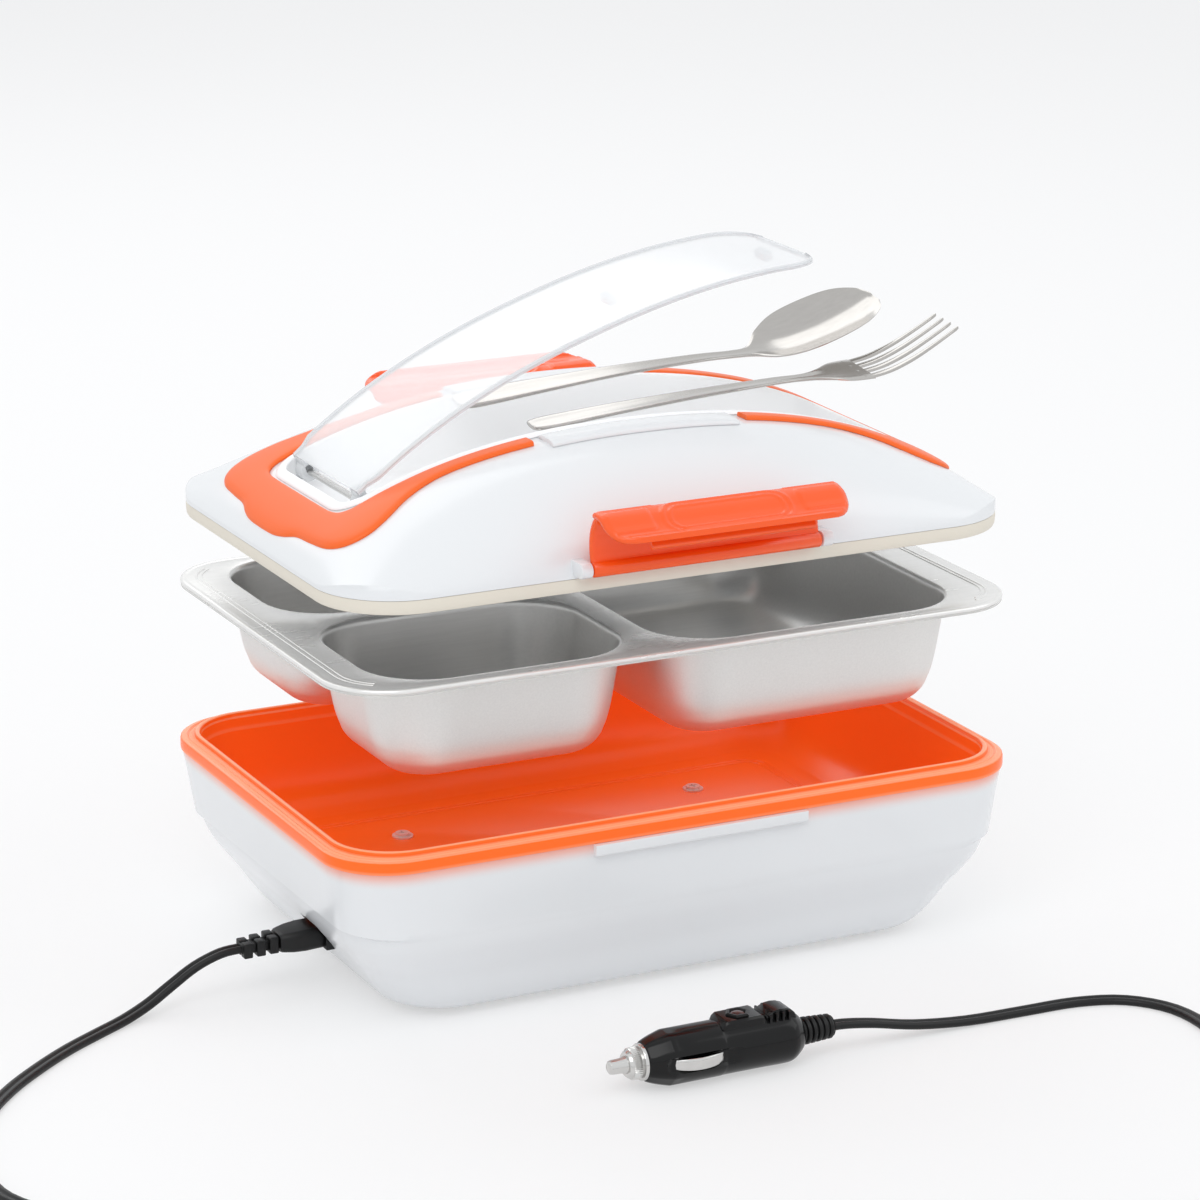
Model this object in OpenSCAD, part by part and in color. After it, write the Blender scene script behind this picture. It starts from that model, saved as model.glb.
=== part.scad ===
// Electric lunch box with a lift-off lid, a steel food tray, a cutlery well and a 12 V lead.
// The lid and the tray are drawn raised above the base, as when the box is being unpacked.
// The origin is on the resting surface, under the middle of the base. X runs along the box.

/* [Base] */
// Length of the base at its rim
base_l = 256; // [240:1:270]
// Depth of the base at its rim
base_w = 172; // [165:1:180]
// Corner radius of the rim, seen from above
rim_r = 24; // [20:1:28]
// Height of the bright inner edge of the liner
rim_z = 66; // [65:0.5:67]
// Height of the liner floor
floor_z = 27.5; // [27:0.1:28]
// Thickness of the moulded walls
wall = 2.2; // [1.8:0.1:2.6]
// Distance of the liner screws from the middle, along the length
screw_x = 58; // [50:1:60]
// Distance of the liner screws from the middle, across
screw_y = 32; // [31:1:34]

/* [Tray] */
// Length of the food tray over its rolled rim
tray_l = 253.4; // [250:0.2:254]
// Width of the food tray over its rolled rim
tray_w = 169.6; // [166:0.2:170]
// Depth of the food compartments
tray_deep = 37; // [30:1:37]
// How far the tray is raised above its place in the base
tray_up = 55.3; // [55.3]

/* [Lid] */
// Length of the lid at its lower edge
lid_l = 251; // [248:1:252]
// Width of the lid at its lower edge
lid_w = 167; // [164:1:168]
// Height of the lid in the middle of its arch
lid_h = 41; // [38:1:42]
// How far the lid is raised above its closed place
lid_up = 79; // [79]
// Angle of the front latch from its closed place
front_open = 122; // [115:1:130]
// Angle of the rear latch from its closed place
rear_open = 154; // [130:1:156]
// Angle of the cutlery cover from its closed place
cover_open = 18.5; // [10:0.5:30]

/* [Lead] */
// Width of the flat twin cord
cord_w = 5.2; // [4.8:0.1:5.6]
// Thickness of the flat twin cord
cord_t = 2.6; // [2.4:0.1:2.8]
// Distance of the plug in front of the middle of the base
plug_y = -151; // [-153:1:-149]
// Radius of the barrel of the plug
plug_r = 9.2; // [9:0.1:9.4]

/* [Hidden] */
$fn = 40;

base_x = base_l / 2;
base_y = base_w / 2;
lip_h = 2;
flange_z = rim_z - lip_h;
skirt_z = rim_z - 6.3;
foot_h = 0.6;
foot_r = 4.8;
foot_x = 74;
foot_y = 44;
inner_floor = 3.6;
seat_gap = 0.3;
tray_t = 0.6;
tray_top = rim_z + seat_gap + tray_t;
lid_seat = tray_top + seat_gap;
lid_z = lid_seat + lid_up;
lid_x = lid_l / 2;
lid_y = lid_w / 2;
seal_h = 5;
edge_h = 6.2;
crown_y = 40;
well_x = 102.8;
well_y = 29;
latch_y = 88.3;
latch_z = 8.8;
latch_half = 42;
lug_x = latch_half + 2.5;
wing_half = 44.5;
pin_r = 1;
barrel_r = 2.6;
cover_x = -95;
cover_z = 22;
plug_z = 9.4;
hook_z = 55.5;

white = [0.93, 0.94, 0.95];
orange = [1.0, 0.33, 0.09];
steel = [0.75, 0.75, 0.76];
black = [0.07, 0.07, 0.08];

// ---- Outlines and surfaces ----

// Offsets between the points of one straight side, without its ends
function steps(n) = [for (i = [1:1:n]) i / (n + 1)];

// A rounded rectangle: four arcs joined by sides that carry long_n and short_n points and bulge by bow
function outline(a, b, r, corner_n, long_n = 0, short_n = 0, bow = 0) =
    let (
        cx = a - r,
        cy = b - r,
        arc = function (x, y, start) [for (i = [0:corner_n])
            [x + r * cos(start + 90 * i / corner_n), y + r * sin(start + 90 * i / corner_n)]],
        line = function (p, q, n) [for (k = steps(n))
            p + (q - p) * k + bow * 4 * k * (1 - k) * [q.y - p.y, p.x - q.x] / norm(q - p)]
    )
    concat(
        arc(cx, cy, 0), line([cx, b], [-cx, b], long_n),
        arc(-cx, cy, 90), line([-a, cy], [-a, -cy], short_n),
        arc(-cx, -cy, 180), line([-cx, -b], [cx, -b], long_n),
        arc(cx, -cy, 270), line([a, -cy], [a, cy], short_n)
    );

function lift(points, z) = [for (p = points) [p.x, p.y, z]];

// Skins a list of closed rings that hold the same number of points
module skin(rings, closed = false) {
    n = len(rings[0]);
    m = len(rings);
    last = closed ? m : m - 1;
    sides = [for (k = [0:last - 1]) for (i = [0:n - 1])
        let (a = k * n, b = (k + 1) % m * n, j = (i + 1) % n) each [[a + i, b + i, b + j], [a + i, b + j, a + j]]];
    ends = closed ? [] : [[for (i = [0:n - 1]) i], [for (i = [0:n - 1]) m * n - 1 - i]];
    polyhedron([for (ring = rings) each ring], concat(sides, ends), 4);
}

// A plate with rounded corners
module plate(a, b, r, z0, z1) {
    translate([0, 0, z0]) linear_extrude(z1 - z0) {
        square([2 * (a - r), 2 * b], center = true);
        square([2 * a, 2 * (b - r)], center = true);
        for (x = [-1, 1], y = [-1, 1]) translate([x * (a - r), y * (b - r)]) circle(r);
    }
}

module rod_x(r, x0, x1) {
    translate([x0, 0, 0]) rotate([0, 90, 0]) cylinder(h = x1 - x0, r = r);
}

module rod_y(r, y0, y1) {
    translate([0, y0, 0]) rotate([-90, 0, 0]) cylinder(h = y1 - y0, r = r);
}

module at_screws(z) {
    for (x = [-1, 1], y = [-1, 1]) translate([x * screw_x, y * screw_y, z]) children();
}

module at_feet(z) {
    for (x = [-1, 1], y = [-1, 1]) translate([x * foot_x, y * foot_y, z]) children();
}

// Points of a smooth curve through the given points, with n steps between two of them
function smooth(p, n) = concat([for (i = [0:len(p) - 2]) for (k = [0:n - 1])
    let (
        a = p[max(i - 1, 0)], b = p[i], c = p[i + 1], d = p[min(i + 2, len(p) - 1)], t = k / n
    )
    0.5 * (2 * b + (c - a) * t + (2 * a - 5 * b + 4 * c - d) * t * t + (3 * b - a - 3 * c + d) * t * t * t)],
    [p[len(p) - 1]]);

// ---- Base ----

// Height of the tub wall with how far it stands in from the rim, along and across
tub_profile = [[0, 36, 25], [inner_floor, 27, 16.5], [9, 22.3, 12.3], [17, 17, 9], [24, 11.8, 5.2],
    [30, 8.4, 2.4], [35.4, 6.8, 1.2], [36.4, 4.6, 0.9], [50, 2.3, 0.7], [skirt_z, 0.5, 0.5]];

function tub_ring(p, inset) = lift(outline(base_x - p[1] - inset, base_y - p[2] - inset,
    max(rim_r - 0.12 * (p[1] + inset), 8), 7), p[0]);

module base_tub() {
    n = len(tub_profile);
    inside = [for (i = [n - 1:-1:1]) tub_profile[i]];
    color(white) difference() {
        union() {
            skin(concat([for (p = tub_profile) tub_ring(p, 0)], [for (p = inside) tub_ring(p, wall)]));
            at_screws(inner_floor - 0.6) cylinder(h = floor_z - wall - 0.3 - inner_floor + 0.6, r = 4);
            for (side = [-1, 1]) translate([0, side * (base_y - 0.6), (hook_z + skirt_z) / 2])
                cube([80, 4.8, skirt_z - hook_z], center = true);
        }
        at_screws(10) cylinder(h = floor_z, r = 1.3);
        at_feet(-1) cylinder(h = foot_h + 1, r = foot_r + 0.2);
        translate([-112, -20, 18.7]) cube([24, 14.6, 9.6], center = true);
    }
}

module rubber_feet() {
    color([0.2, 0.2, 0.2]) at_feet(0) cylinder(h = foot_h, r = foot_r);
}

// Height of the liner wall with how far its inner face stands in from the rim
liner_profile = [[floor_z, 24, 24], [floor_z + 2.4, 18, 17], [34, 13.5, 11.4], [42, 10.6, 8.6],
    [54, 8.2, 7], [rim_z - 0.5, 6.1, 6.1]];

function liner_ring(p, inset, dz) = lift(outline(base_x - p[1] - inset, base_y - p[2] - inset,
    max(rim_r - 0.5 * p[1], 10) - inset, 7), p[0] + dz);

module liner() {
    n = len(liner_profile);
    outer_wall = [for (i = [0:n - 2]) liner_ring(liner_profile[i], -wall, i == 0 ? -wall : -wall * 0.6)];
    brim = [[skirt_z, 4.0], [skirt_z, 0], [flange_z - 0.6, 0], [flange_z, 0.6], [flange_z, 4.5],
        [rim_z - 0.5, 4.6], [rim_z, 5.1], [rim_z, 5.6]];
    color(orange) difference() {
        skin(concat(
            outer_wall,
            [for (b = brim) liner_ring([b[0], b[1], b[1]], 0, 0)],
            [for (i = [n - 1:-1:0]) liner_ring(liner_profile[i], 0, 0)]
        ));
        at_screws(floor_z - 5) cylinder(h = 8, r = 1.7);
    }
}

module liner_screws() {
    color(steel) at_screws(floor_z + 0.6) difference() {
        union() {
            cylinder(h = 0.9, r = 2.6);
            translate([0, 0, -14]) cylinder(h = 14.2, r = 1.3);
        }
        for (a = [0, 90]) rotate(a) translate([-1.6, -0.35, 0.35]) cube([3.2, 0.7, 2]);
    }
}

module screw_washers() {
    color(steel) at_screws(floor_z) difference() {
        cylinder(h = 0.6, r = 3.75);
        translate([0, 0, -1]) cylinder(h = 3, r = 1.7);
    }
}

module heating_plate() {
    color([0.8, 0.81, 0.82]) plate(50, 26, 5, floor_z - wall - 1.5, floor_z - wall);
}

module ptc_heater() {
    color([0.55, 0.55, 0.57]) plate(30, 14, 1, 18.8, floor_z - wall - 1.5);
}

module heater_clip() {
    color(steel) difference() {
        translate([-38, -5, 17.8]) cube([76, 10, floor_z - wall - 1.5 - 17.8]);
        translate([-31, -6, 18.8]) cube([62, 12, 9]);
    }
}

module thermal_cutout() {
    color([0.85, 0.8, 0.7]) translate([0, 20, floor_z - wall - 1.5 - 2]) rod_x(1.9, -8, 8);
}

module insulation_pad() {
    color([0.86, 0.84, 0.78]) plate(52, 27, 4, inner_floor, 14);
}

// A round tube of radius r along the given points, which never run straight up
function tube_ring(p, t, a, b, n) =
    let (
        side = cross([0, 0, 1], t) / norm(cross([0, 0, 1], t)),
        up = cross(t, side)
    )
    [for (i = [0:n - 1]) p + side * a * cos(360 * i / n) + up * b * sin(360 * i / n)];

module tube(points, a, b, n) {
    m = len(points);
    skin([for (i = [0:m - 1])
        let (d = points[min(i + 1, m - 1)] - points[max(i - 1, 0)])
        tube_ring(points[i], d / norm(d), a, b, n)]);
}

// Distance along the box and height of the two wires
wire_route = [[-97.6, 18.7], [-90, 18.7], [-76, 17.5], [-62, 16.5], [-48, 19], [-40, 21.2], [-30.2, 21.4]];

module heater_wires() {
    color([0.8, 0.1, 0.1]) for (side = [0, 1])
        tube([for (p = smooth(wire_route, 3)) [p[0], wire_y(p[0], side), p[1]]], 0.9, 0.9, 6);
}

// The two wires spread from the inlet pins to the two ends of the heater
function wire_y(x, side) = (side == 0 ? -23 : -17) + (x + 98) / 67.8 * (side == 0 ? 13 : 29);

module inlet_socket() {
    color([0.16, 0.16, 0.17]) difference() {
        translate([-112, -27.2, 14]) cube([14, 14.4, 9.4]);
        translate([-113, -25.4, 15.8]) cube([9, 10.8, 5.8]);
        for (y = [-23, -17]) translate([0, y, 18.7]) rod_x(1, -110, -90);
    }
}

module inlet_pins() {
    color([0.85, 0.7, 0.35]) for (y = [-23, -17]) translate([0, y, 18.7]) rod_x(1, -111, -98);
}

// ---- Food tray ----

// Depth below the tray's top with how far the compartment wall stands in from its opening
bowl_profile = [[0, 0], [2.5, 1.4], [20, 4.2], [28, 6.2], [33, 9], [36, 13], [tray_deep, 19]];

// Compartments: middle along, middle across, half length, half width, corner radius
bowls = [[50, 0, 58, 79, 24], [-64, -41.5, 47, 37.5, 24], [-64, 41.5, 47, 37.5, 24]];

// One ring of a compartment, grown outward by the thickness of the sheet
function bowl_ring(bowl, p, grow) = lift(outline(bowl[2] - p[1] + grow, bowl[3] - p[1] + grow,
    max(bowl[4] - p[1], 10) + grow, 6), -max(p[0], tray_t / 2) - (p[0] > 30 ? grow * 0.9 : 0));

module compartment(bowl) {
    n = len(bowl_profile) - 1;
    translate([bowl[0], bowl[1], 0]) skin(concat(
        [for (i = [n:-1:0]) bowl_ring(bowl, bowl_profile[i], tray_t)],
        [for (i = [0:n]) bowl_ring(bowl, bowl_profile[i], 0)]
    ));
}

module food_tray() {
    a = tray_l / 2;
    b = tray_w / 2;
    color(steel) translate([0, 0, tray_top + tray_up]) {
        difference() {
            union() {
                plate(a - 0.4, b - 0.4, rim_r - 0.4, -tray_t, 0);
                difference() {
                    plate(a, b, rim_r, -2.3, -0.15);
                    plate(a - 1.2, b - 1.2, rim_r - 1.2, -4, 2);
                }
            }
            for (bowl = bowls) translate([bowl[0], bowl[1], -3]) linear_extrude(6)
                polygon(outline(bowl[2] - 0.15, bowl[3] - 0.15, bowl[4] - 0.15, 6));
        }
        for (bowl = bowls) compartment(bowl);
    }
}

// ---- Lid ----

// Height of the lid's outer surface above the lower edge of its seal
function arch(x) = edge_h + (lid_h - edge_h) * pow(max(1 - pow(abs(x) / lid_x, 2.2), 0), 0.75);
function dome(x, y) =
    let (t = max(abs(y) - crown_y, 0) / (lid_y - crown_y))
    edge_h + (arch(x) - edge_h) * pow(max(1 - pow(t, 1.6), 0), 0.625);

lid_outline = outline(lid_x, lid_y, 28, 6, 13, 5);
well_outline = outline(well_x + 2.2, well_y + 2.2, 8, 6, 13, 5);

// Share of the way from the edge of the lid to the opening of the well
lid_shares = [0, 0.02, 0.06, 0.13, 0.22, 0.34, 0.48, 0.64, 0.82, 1];

function lid_point(i, k, inset) =
    let (p = lid_outline[i] * (1 - inset * 2.2 / lid_y), q = well_outline[i])
    p + (q - p) * k;

function lid_ring(k) = [for (i = [0:len(lid_outline) - 1])
    let (p = lid_point(i, k, 0)) [p.x, p.y, dome(p.x, p.y)]];

function lid_inner_ring(k) = [for (i = [0:len(lid_outline) - 1])
    let (p = lid_point(i, k, 1)) [p.x, p.y, max(dome(p.x, p.y) - wall, seal_h)]];

module lid_shell() {
    color(white) translate([0, 0, lid_z]) difference() {
        union() {
            skin(concat(
                [lift(lid_outline, seal_h)],
                [for (k = lid_shares) lid_ring(k)],
                [for (i = [len(lid_shares) - 1:-1:0]) lid_inner_ring(lid_shares[i])]
            ), closed = true);
            for (side = [-1, 1], end = [-1, 1]) translate([end * lug_x, side * latch_y, latch_z]) {
                rod_x(barrel_r, -2, 2);
                translate([-2, side < 0 ? 0 : -6.4, -barrel_r]) cube([4, 6.4, 2 * barrel_r]);
            }
        }
        for (side = [-1, 1]) translate([0, side * latch_y, latch_z]) rod_x(pin_r, -60, 60);
    }
}

module lid_inner_panel() {
    color(white) translate([0, 0, lid_z]) plate(117, 75, 20, 2.2, 4.9);
}

module lid_seal() {
    color([0.93, 0.9, 0.82]) translate([0, 0, lid_z]) difference() {
        plate(lid_x, lid_y, 28, 0, seal_h);
        plate(117.4, 75.4, 20.4, -1, seal_h + 1);
    }
}

// Outline of the well, grown outward from its opening
function well_line(grow, r) = outline(well_x + grow, well_y + grow, r, 4, 13, 3, 0.12);

// A ring of the well's rim, at a height above the lid's surface
function well_ring(grow, up) = [for (p = well_line(grow, 7 + grow)) [p.x, p.y, dome(p.x, p.y) + up]];

module cutlery_well() {
    color(white) translate([0, 0, lid_z]) skin([
        lift(well_line(-2, 6), 13.4), lift(well_line(1.8, 8), 16.4),
        well_ring(1.8, 0.25), well_ring(3.4, 0.25), well_ring(3.4, 0.9), well_ring(0.3, 1.1), well_ring(0, 0.8),
        lift(well_line(0, 7), 18), lift(well_line(-3, 5), 15.2)
    ]);
}

module cover_lugs() {
    color(white) translate([0, 0, lid_z]) for (side = [-1, 1]) difference() {
        translate([cover_x - 2, side * 27.85 - 0.85, cover_z - 4]) cube([5.5, 1.7, 7]);
        translate([cover_x, 0, cover_z]) rod_y(1.2, -40, 40);
    }
}

// A band on the lid between an outer and an inner line, with a rounded top
module band(outer, inner, bottom, top) {
    skin([for (i = [0:len(outer) - 1])
        let (
            p = outer[i], q = inner[i],
            at = function (k, up) let (s = p + (q - p) * k) [s.x, s.y, dome(s.x, s.y) + up]
        )
        [at(1, bottom), at(1, top * 0.45), at(0.91, top * 0.85), at(0.7, top), at(0.3, top), at(0.09, top * 0.85),
            at(0, top * 0.45), for (k = [0:0.25:0.75]) at(k, bottom)]]);
}

trim_outer = [[-40, 40.5], [-62, 40.5], [-76, 41.5], [-88, 45.5], [-98, 51], [-106, 53.5], [-113, 51.5], [-117, 45],
    [-118.2, 34], [-118.8, 24], [-120.6, 17], [-121.6, 10], [-121.8, 0]];
trim_inner = [[-40, 33.4], [-60, 33.4], [-73, 33.4], [-83, 33.4], [-92, 33.4], [-99, 33.4], [-103, 33], [-106, 30.6],
    [-107.2, 26], [-107.4, 20], [-107.4, 14], [-107.4, 8], [-107.4, 0]];

function mirrored(p) = [for (i = [len(p) - 2:-1:0]) [p[i].x, -p[i].y]];

module trim() {
    outer = smooth(trim_outer, 3);
    inner = smooth(trim_inner, 3);
    color(orange) band(concat(outer, mirrored(outer)), concat(inner, mirrored(inner)), 0.4, 1.7);
}

module left_trim() {
    translate([0, 0, lid_z]) trim();
}

module right_trim() {
    translate([0, 0, lid_z]) mirror([1, 0, 0]) trim();
}

module finger_pads() {
    xs = [for (i = [0:8]) -35 + 70 * i / 8];
    color(white) translate([0, 0, lid_z]) for (side = [-1, 1])
        scale([side, side, 1]) band([for (x = xs) [x, -45]], [for (x = xs) [x, -33.2]], 0.4, 1.5);
}

module front_latch_pin() {
    color(steel) translate([0, -latch_y, lid_z + latch_z]) rod_x(pin_r, -lug_x - 1.5, lug_x + 1.5);
}

module rear_latch_pin() {
    color(steel) translate([0, latch_y, lid_z + latch_z]) rod_x(pin_r, -lug_x - 1.5, lug_x + 1.5);
}

module cover_pin() {
    color(steel) translate([cover_x, 0, lid_z + cover_z]) rod_y(1.2, 0.1 - well_y, well_y - 0.1);
}

// ---- Latches ----

// Middle line of the latch sheet, outward and upward from its pin, when it stands open
latch_line = [[0, 0.6], [-1.2, 4], [-1.6, 8.5], [-0.8, 13], [1.8, 17.2], [6.2, 19.9], [11, 19.2], [15.4, 16.4],
    [19.6, 14.7], [24, 15]];
latch_t = 2.2;
// Angle from the closed place to the one that the latch is drawn in
drawn_open = 122;

function offset_line(p, d) = [for (i = [0:len(p) - 1])
    let (t = p[min(i + 1, len(p) - 1)] - p[max(i - 1, 0)])
    p[i] + d * [-t.y, t.x] / norm(t)];

function turned(p, a) = [for (q = p) [q.x * cos(a) - q.y * sin(a), q.x * sin(a) + q.y * cos(a)]];

// The sheet between two of its points, as a flat outline
function sheet(from, to) =
    let (
        line = smooth(latch_line, 4),
        a = offset_line(line, latch_t / 2),
        b = offset_line(line, -latch_t / 2)
    )
    concat([for (i = [from:to]) a[i]], [for (i = [to:-1:from]) b[i]]);

// Rib under the sheet that reaches below the ledge of the base, drawn in the closed place and turned open
hook_drop = hook_z - (lid_seat + latch_z);
hook_line = [[-1.6, hook_drop - 0.5], [6.2, hook_drop - 0.3], [6.2, hook_drop - 2], [-1.2, hook_drop - 2.5]];
hook_half = 30;

// Extrudes an outline that is drawn outward and upward from the pin, along X
module along_x(half, points) {
    rotate([90, 0, -90]) translate([0, 0, -half]) linear_extrude(2 * half) polygon(points);
}

module latch() {
    crest = 16;
    end = 36;
    color(orange) difference() {
        union() {
            along_x(latch_half, sheet(0, crest + 1));
            intersection() {
                along_x(wing_half, sheet(crest, end));
                translate([0, -2, 0]) linear_extrude(60) wing_outline();
            }
            along_x(hook_half, turned(hook_line, drawn_open));
            rod_x(barrel_r, -latch_half, latch_half);
        }
        rod_x(pin_r + 0.06, -60, 60);
    }
}

// Outline of the wing from above, with round outer corners
module wing_outline() {
    corner = 11;
    translate([-wing_half + corner, -23 + corner]) circle(corner);
    translate([wing_half - corner, -23 + corner]) circle(corner);
    translate([-wing_half, -23 + corner]) square([2 * wing_half, 26]);
    translate([-wing_half + corner, -23]) square([2 * (wing_half - corner), 30]);
}

module front_latch() {
    translate([0, -latch_y, lid_z + latch_z]) rotate([drawn_open - front_open, 0, 0]) latch();
}

module rear_latch() {
    translate([0, latch_y, lid_z + latch_z]) rotate([rear_open - drawn_open, 0, 0]) mirror([0, 1, 0]) latch();
}

// ---- Cutlery cover ----

module cutlery_cover() {
    tail = 2.2;
    end = 88;
    gap = 1.5;
    thick = 1.8;
    xs = [for (i = [0:16]) cover_x - tail + i * (end - cover_x + tail) / 16];
    color([0.95, 0.97, 1, 0.7]) translate([cover_x, 0, lid_z + cover_z]) rotate([0, -cover_open, 0])
        translate([-cover_x, 0, -cover_z]) difference() {
            union() {
                skin([for (x = xs)
                    let (
                        round_end = sqrt(max(13.6 * 13.6 - pow(max(x - 74.4, 0), 2), 0)),
                        half = x < cover_x + 6 ? well_y - 0.7 : min(30.6, 17 + round_end),
                        z = arch(x) + gap
                    )
                    [[x, half, z], [x, half, z + thick * 0.7], [x, half - 1.4, z + thick], [x, 1.4 - half, z + thick],
                        [x, -half, z + thick * 0.7], [x, -half, z]]]);
                for (side = [-1, 1]) translate([cover_x, side * 23.8, cover_z]) {
                    rod_y(3.4, -3, 3);
                    translate([-tail, -3, 0]) cube([2 * tail, 6, arch(cover_x) + gap - cover_z + 0.9]);
                }
                for (x = [20, 80]) translate([x - 2, -4, arch(x) + gap - 3]) cube([3, 8, 3.6]);
            }
            translate([cover_x, 0, cover_z]) rod_y(1.26, -40, 40);
        }
}

// ---- Cutlery ----

cutlery_turn = 6;
spoon_y = 13.8;
fork_y = -15.4;
// Point in the side view, far above the lid, that each piece swings about
spoon_swing = [-235, 575];
fork_swing = [-190, 650];
// Height above the lid's lower edge when the pieces lie in the well
spoon_up = 16.2;
fork_up = 16.8;
// How far each piece is rolled towards the front
spoon_roll = 12;
fork_roll = 6;

// Turns a piece from its place in the well to where it is held above it
module raised(y, up, roll, swing) {
    translate([swing.x, y, swing.y]) rotate([0, -cutlery_turn, 0])
        translate([-swing.x, 0, lid_z + up - swing.y]) rotate([roll, 0, 0]) children();
}

// Spoon from handle to tip: distance along, half width, height and how far its sides rise
spoon_line = [[-86, 3.6, 8.4, 0.3], [-84, 5.6, 8.3, 0.3], [-77, 6.4, 8.1, 0.4], [-53, 5.4, 7.4, 0.5],
    [-23, 4, 6.2, 0.5], [7, 2.9, 4, 0.5], [21, 2.6, 2.4, 0.5], [29, 4, 1.6, 0.7], [36, 11, 1, 2.8], [45, 15.4, 1.4, 5],
    [57, 16.2, 3.6, 5.6], [68, 14.4, 7, 4.6], [75.5, 9.4, 10.4, 2.4], [78.5, 4, 12.2, 0.7]];

function spoon_ring(s, t) = concat(
    [for (k = [3:-1:-3]) [s[0], s[1] * k / 3, s[2] + s[3] * k * k / 9 + t]],
    [for (k = [-3:3]) [s[0], s[1] * k / 3, s[2] + s[3] * k * k / 9 - (abs(k) == 3 ? 0 : t * 0.4)]]);

module spoon() {
    color(steel) raised(spoon_y, spoon_up, spoon_roll, spoon_swing)
        skin([for (s = smooth(spoon_line, 3)) spoon_ring(s, 1.1)]);
}

fork_line = [[-79, 3.6, 7.6, 0.3], [-77, 5.2, 7.5, 0.3], [-70, 6, 7.3, 0.4], [-46, 5.2, 6.6, 0.5], [-16, 4, 5.2, 0.5],
    [14, 2.9, 3.2, 0.5], [26, 2.8, 2, 0.5], [34, 5.6, 1.2, 0.6], [41, 9.6, 0.6, 0.6], [49, 10.4, 0.4, 0.2]];
tine_line = [[46, 1], [49, 0.8], [57, 1.5], [66, 3.8], [75, 7.2], [84, 11.2]];
tine_pitch = 5.3;

module fork() {
    color(steel) raised(fork_y, fork_up, fork_roll, fork_swing) {
        skin([for (s = smooth(fork_line, 3)) spoon_ring(s, 1.1)]);
        for (k = [-1.5:1:1.5]) tube([for (p = smooth(tine_line, 3)) [p[0], k * tine_pitch, p[1]]], 1.5, 0.45, 8);
    }
}

// ---- Lead and plug ----

inlet_y = -20;
inlet_z = 18.7;

module inlet_connector() {
    stations = [[-104.2, 4.9, 2.5], [-112, 5, 2.6], [-112.1, 6.6, 3.8], [-119, 6.6, 3.9], [-125.6, 5.4, 3.4],
        [-127.6, 4.8, 3.1]];
    color(black) {
        skin([for (s = stations)
            [for (p = outline(s[1], s[2], 1.4, 3)) [s[0], inlet_y - p.x, inlet_z - (-104 - s[0]) * 0.04 + p.y]]]);
    }
}

module strain_relief() {
    color(black) {
        for (k = [0:2]) translate([-128.2 - k * 4.6 - 3.2, inlet_y - 4.4 + k * 0.2, inlet_z - 3.9 - k * 0.2])
            cube([3.2, 8.8 - k * 0.4, 5.8 - k * 0.3]);
        translate([-141, inlet_y - 3, inlet_z - 3]) cube([13.4, 6, 3.4]);
    }
}

// Middle of the cord from the strain relief to the boot of the plug
cord_route = [[-141, -20, 17.2], [-148, -20, 16.6], [-157, -20, 13.4], [-166, -21, 8.6], [-175, -23, 4.2],
    [-185, -27, 1.8], [-196, -33, 1.3], [-210, -42, 1.3], [-224, -53, 1.3], [-238, -66, 1.3], [-251, -82, 1.3],
    [-261, -101, 1.3], [-266, -122, 1.3], [-265, -144, 1.3], [-254, -163, 1.3], [-236, -177, 1.3], [-212, -189, 1.3],
    [-180, -203, 1.3], [-144, -219, 1.3], [-106, -235, 1.3], [-68, -253, 1.3], [-30, -271, 1.3], [6, -289, 1.3],
    [36, -303, 1.3], [62, -309, 1.3], [84, -302, 1.3], [99, -284, 1.3], [110, -261, 1.3], [120, -238, 1.3],
    [129, -214, 1.3], [135, -192, 1.3], [134, -172, 1.3], [124, -158, 1.3], [108, -152, 1.3], [88, -151, 1.3],
    [66, -151, 1.8], [46, -151, 4], [30, -151, 7.4], [20, -151, 9], [14, -151, 9.4]];

module power_cord() {
    color(black) tube(smooth(cord_route, 2), cord_w / 2, cord_t / 2, 8);
}

// Plug pieces are turned about the middle of the barrel
module turned_on_x(profile) {
    translate([0, plug_y, plug_z]) rotate([0, 90, 0]) rotate_extrude($fn = 48) polygon([for (p = profile) [p[1], p[0]]]);
}

module plug_boot() {
    ribs = [for (k = [0:4]) each [[3.6 + k * 2.1, 4.6 - k * 0.12], [4.9 + k * 2.1, 4.6 - k * 0.12],
        [4.9 + k * 2.1, 3.7], [5.7 + k * 2.1, 3.7]]];
    color(black) turned_on_x(concat([[1.9, 0], [1.9, 3.8], [3.6, 3.8]], ribs, [[14, 3.7], [14, 0]]));
}

// Half of the barrel: top is 1 for the upper half and -1 for the lower one
module plug_half(top) {
    difference() {
        turned_on_x([[-55, 5], [-55, 6.6], [-50.5, plug_r - 0.7], [-48, plug_r], [-4, plug_r], [0, 7.6], [1.8, 5.4], [1.8, 0],
            [-2, 0], [-2, 6.4], [-50, 6.4], [-51, 5]]);
        translate([-60, plug_y - 15, plug_z + (top > 0 ? -19.99 : -0.01)]) cube([70, 30, 20]);
        for (side = [-1, 1]) translate([-38, plug_y + side * 9, plug_z]) cube([24, 6, 5.2], center = true);
    }
}

module plug_shell_top() {
    color(black) difference() {
        union() {
            plug_half(1);
            translate([-27, plug_y - 5.4, plug_z + 6]) cube([25, 10.8, 4]);
            translate([-6.5, plug_y - 4, plug_z + 6]) rotate([-90, 0, 0]) cylinder(h = 8, r = 5);
        }
        translate([0, plug_y, plug_z]) rod_x(6.4, -40, -2);
        translate([-21, plug_y, plug_z]) cylinder(h = 20, r = 2.2);
    }
}

module plug_shell_bottom() {
    color(black) plug_half(-1);
}

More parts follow.
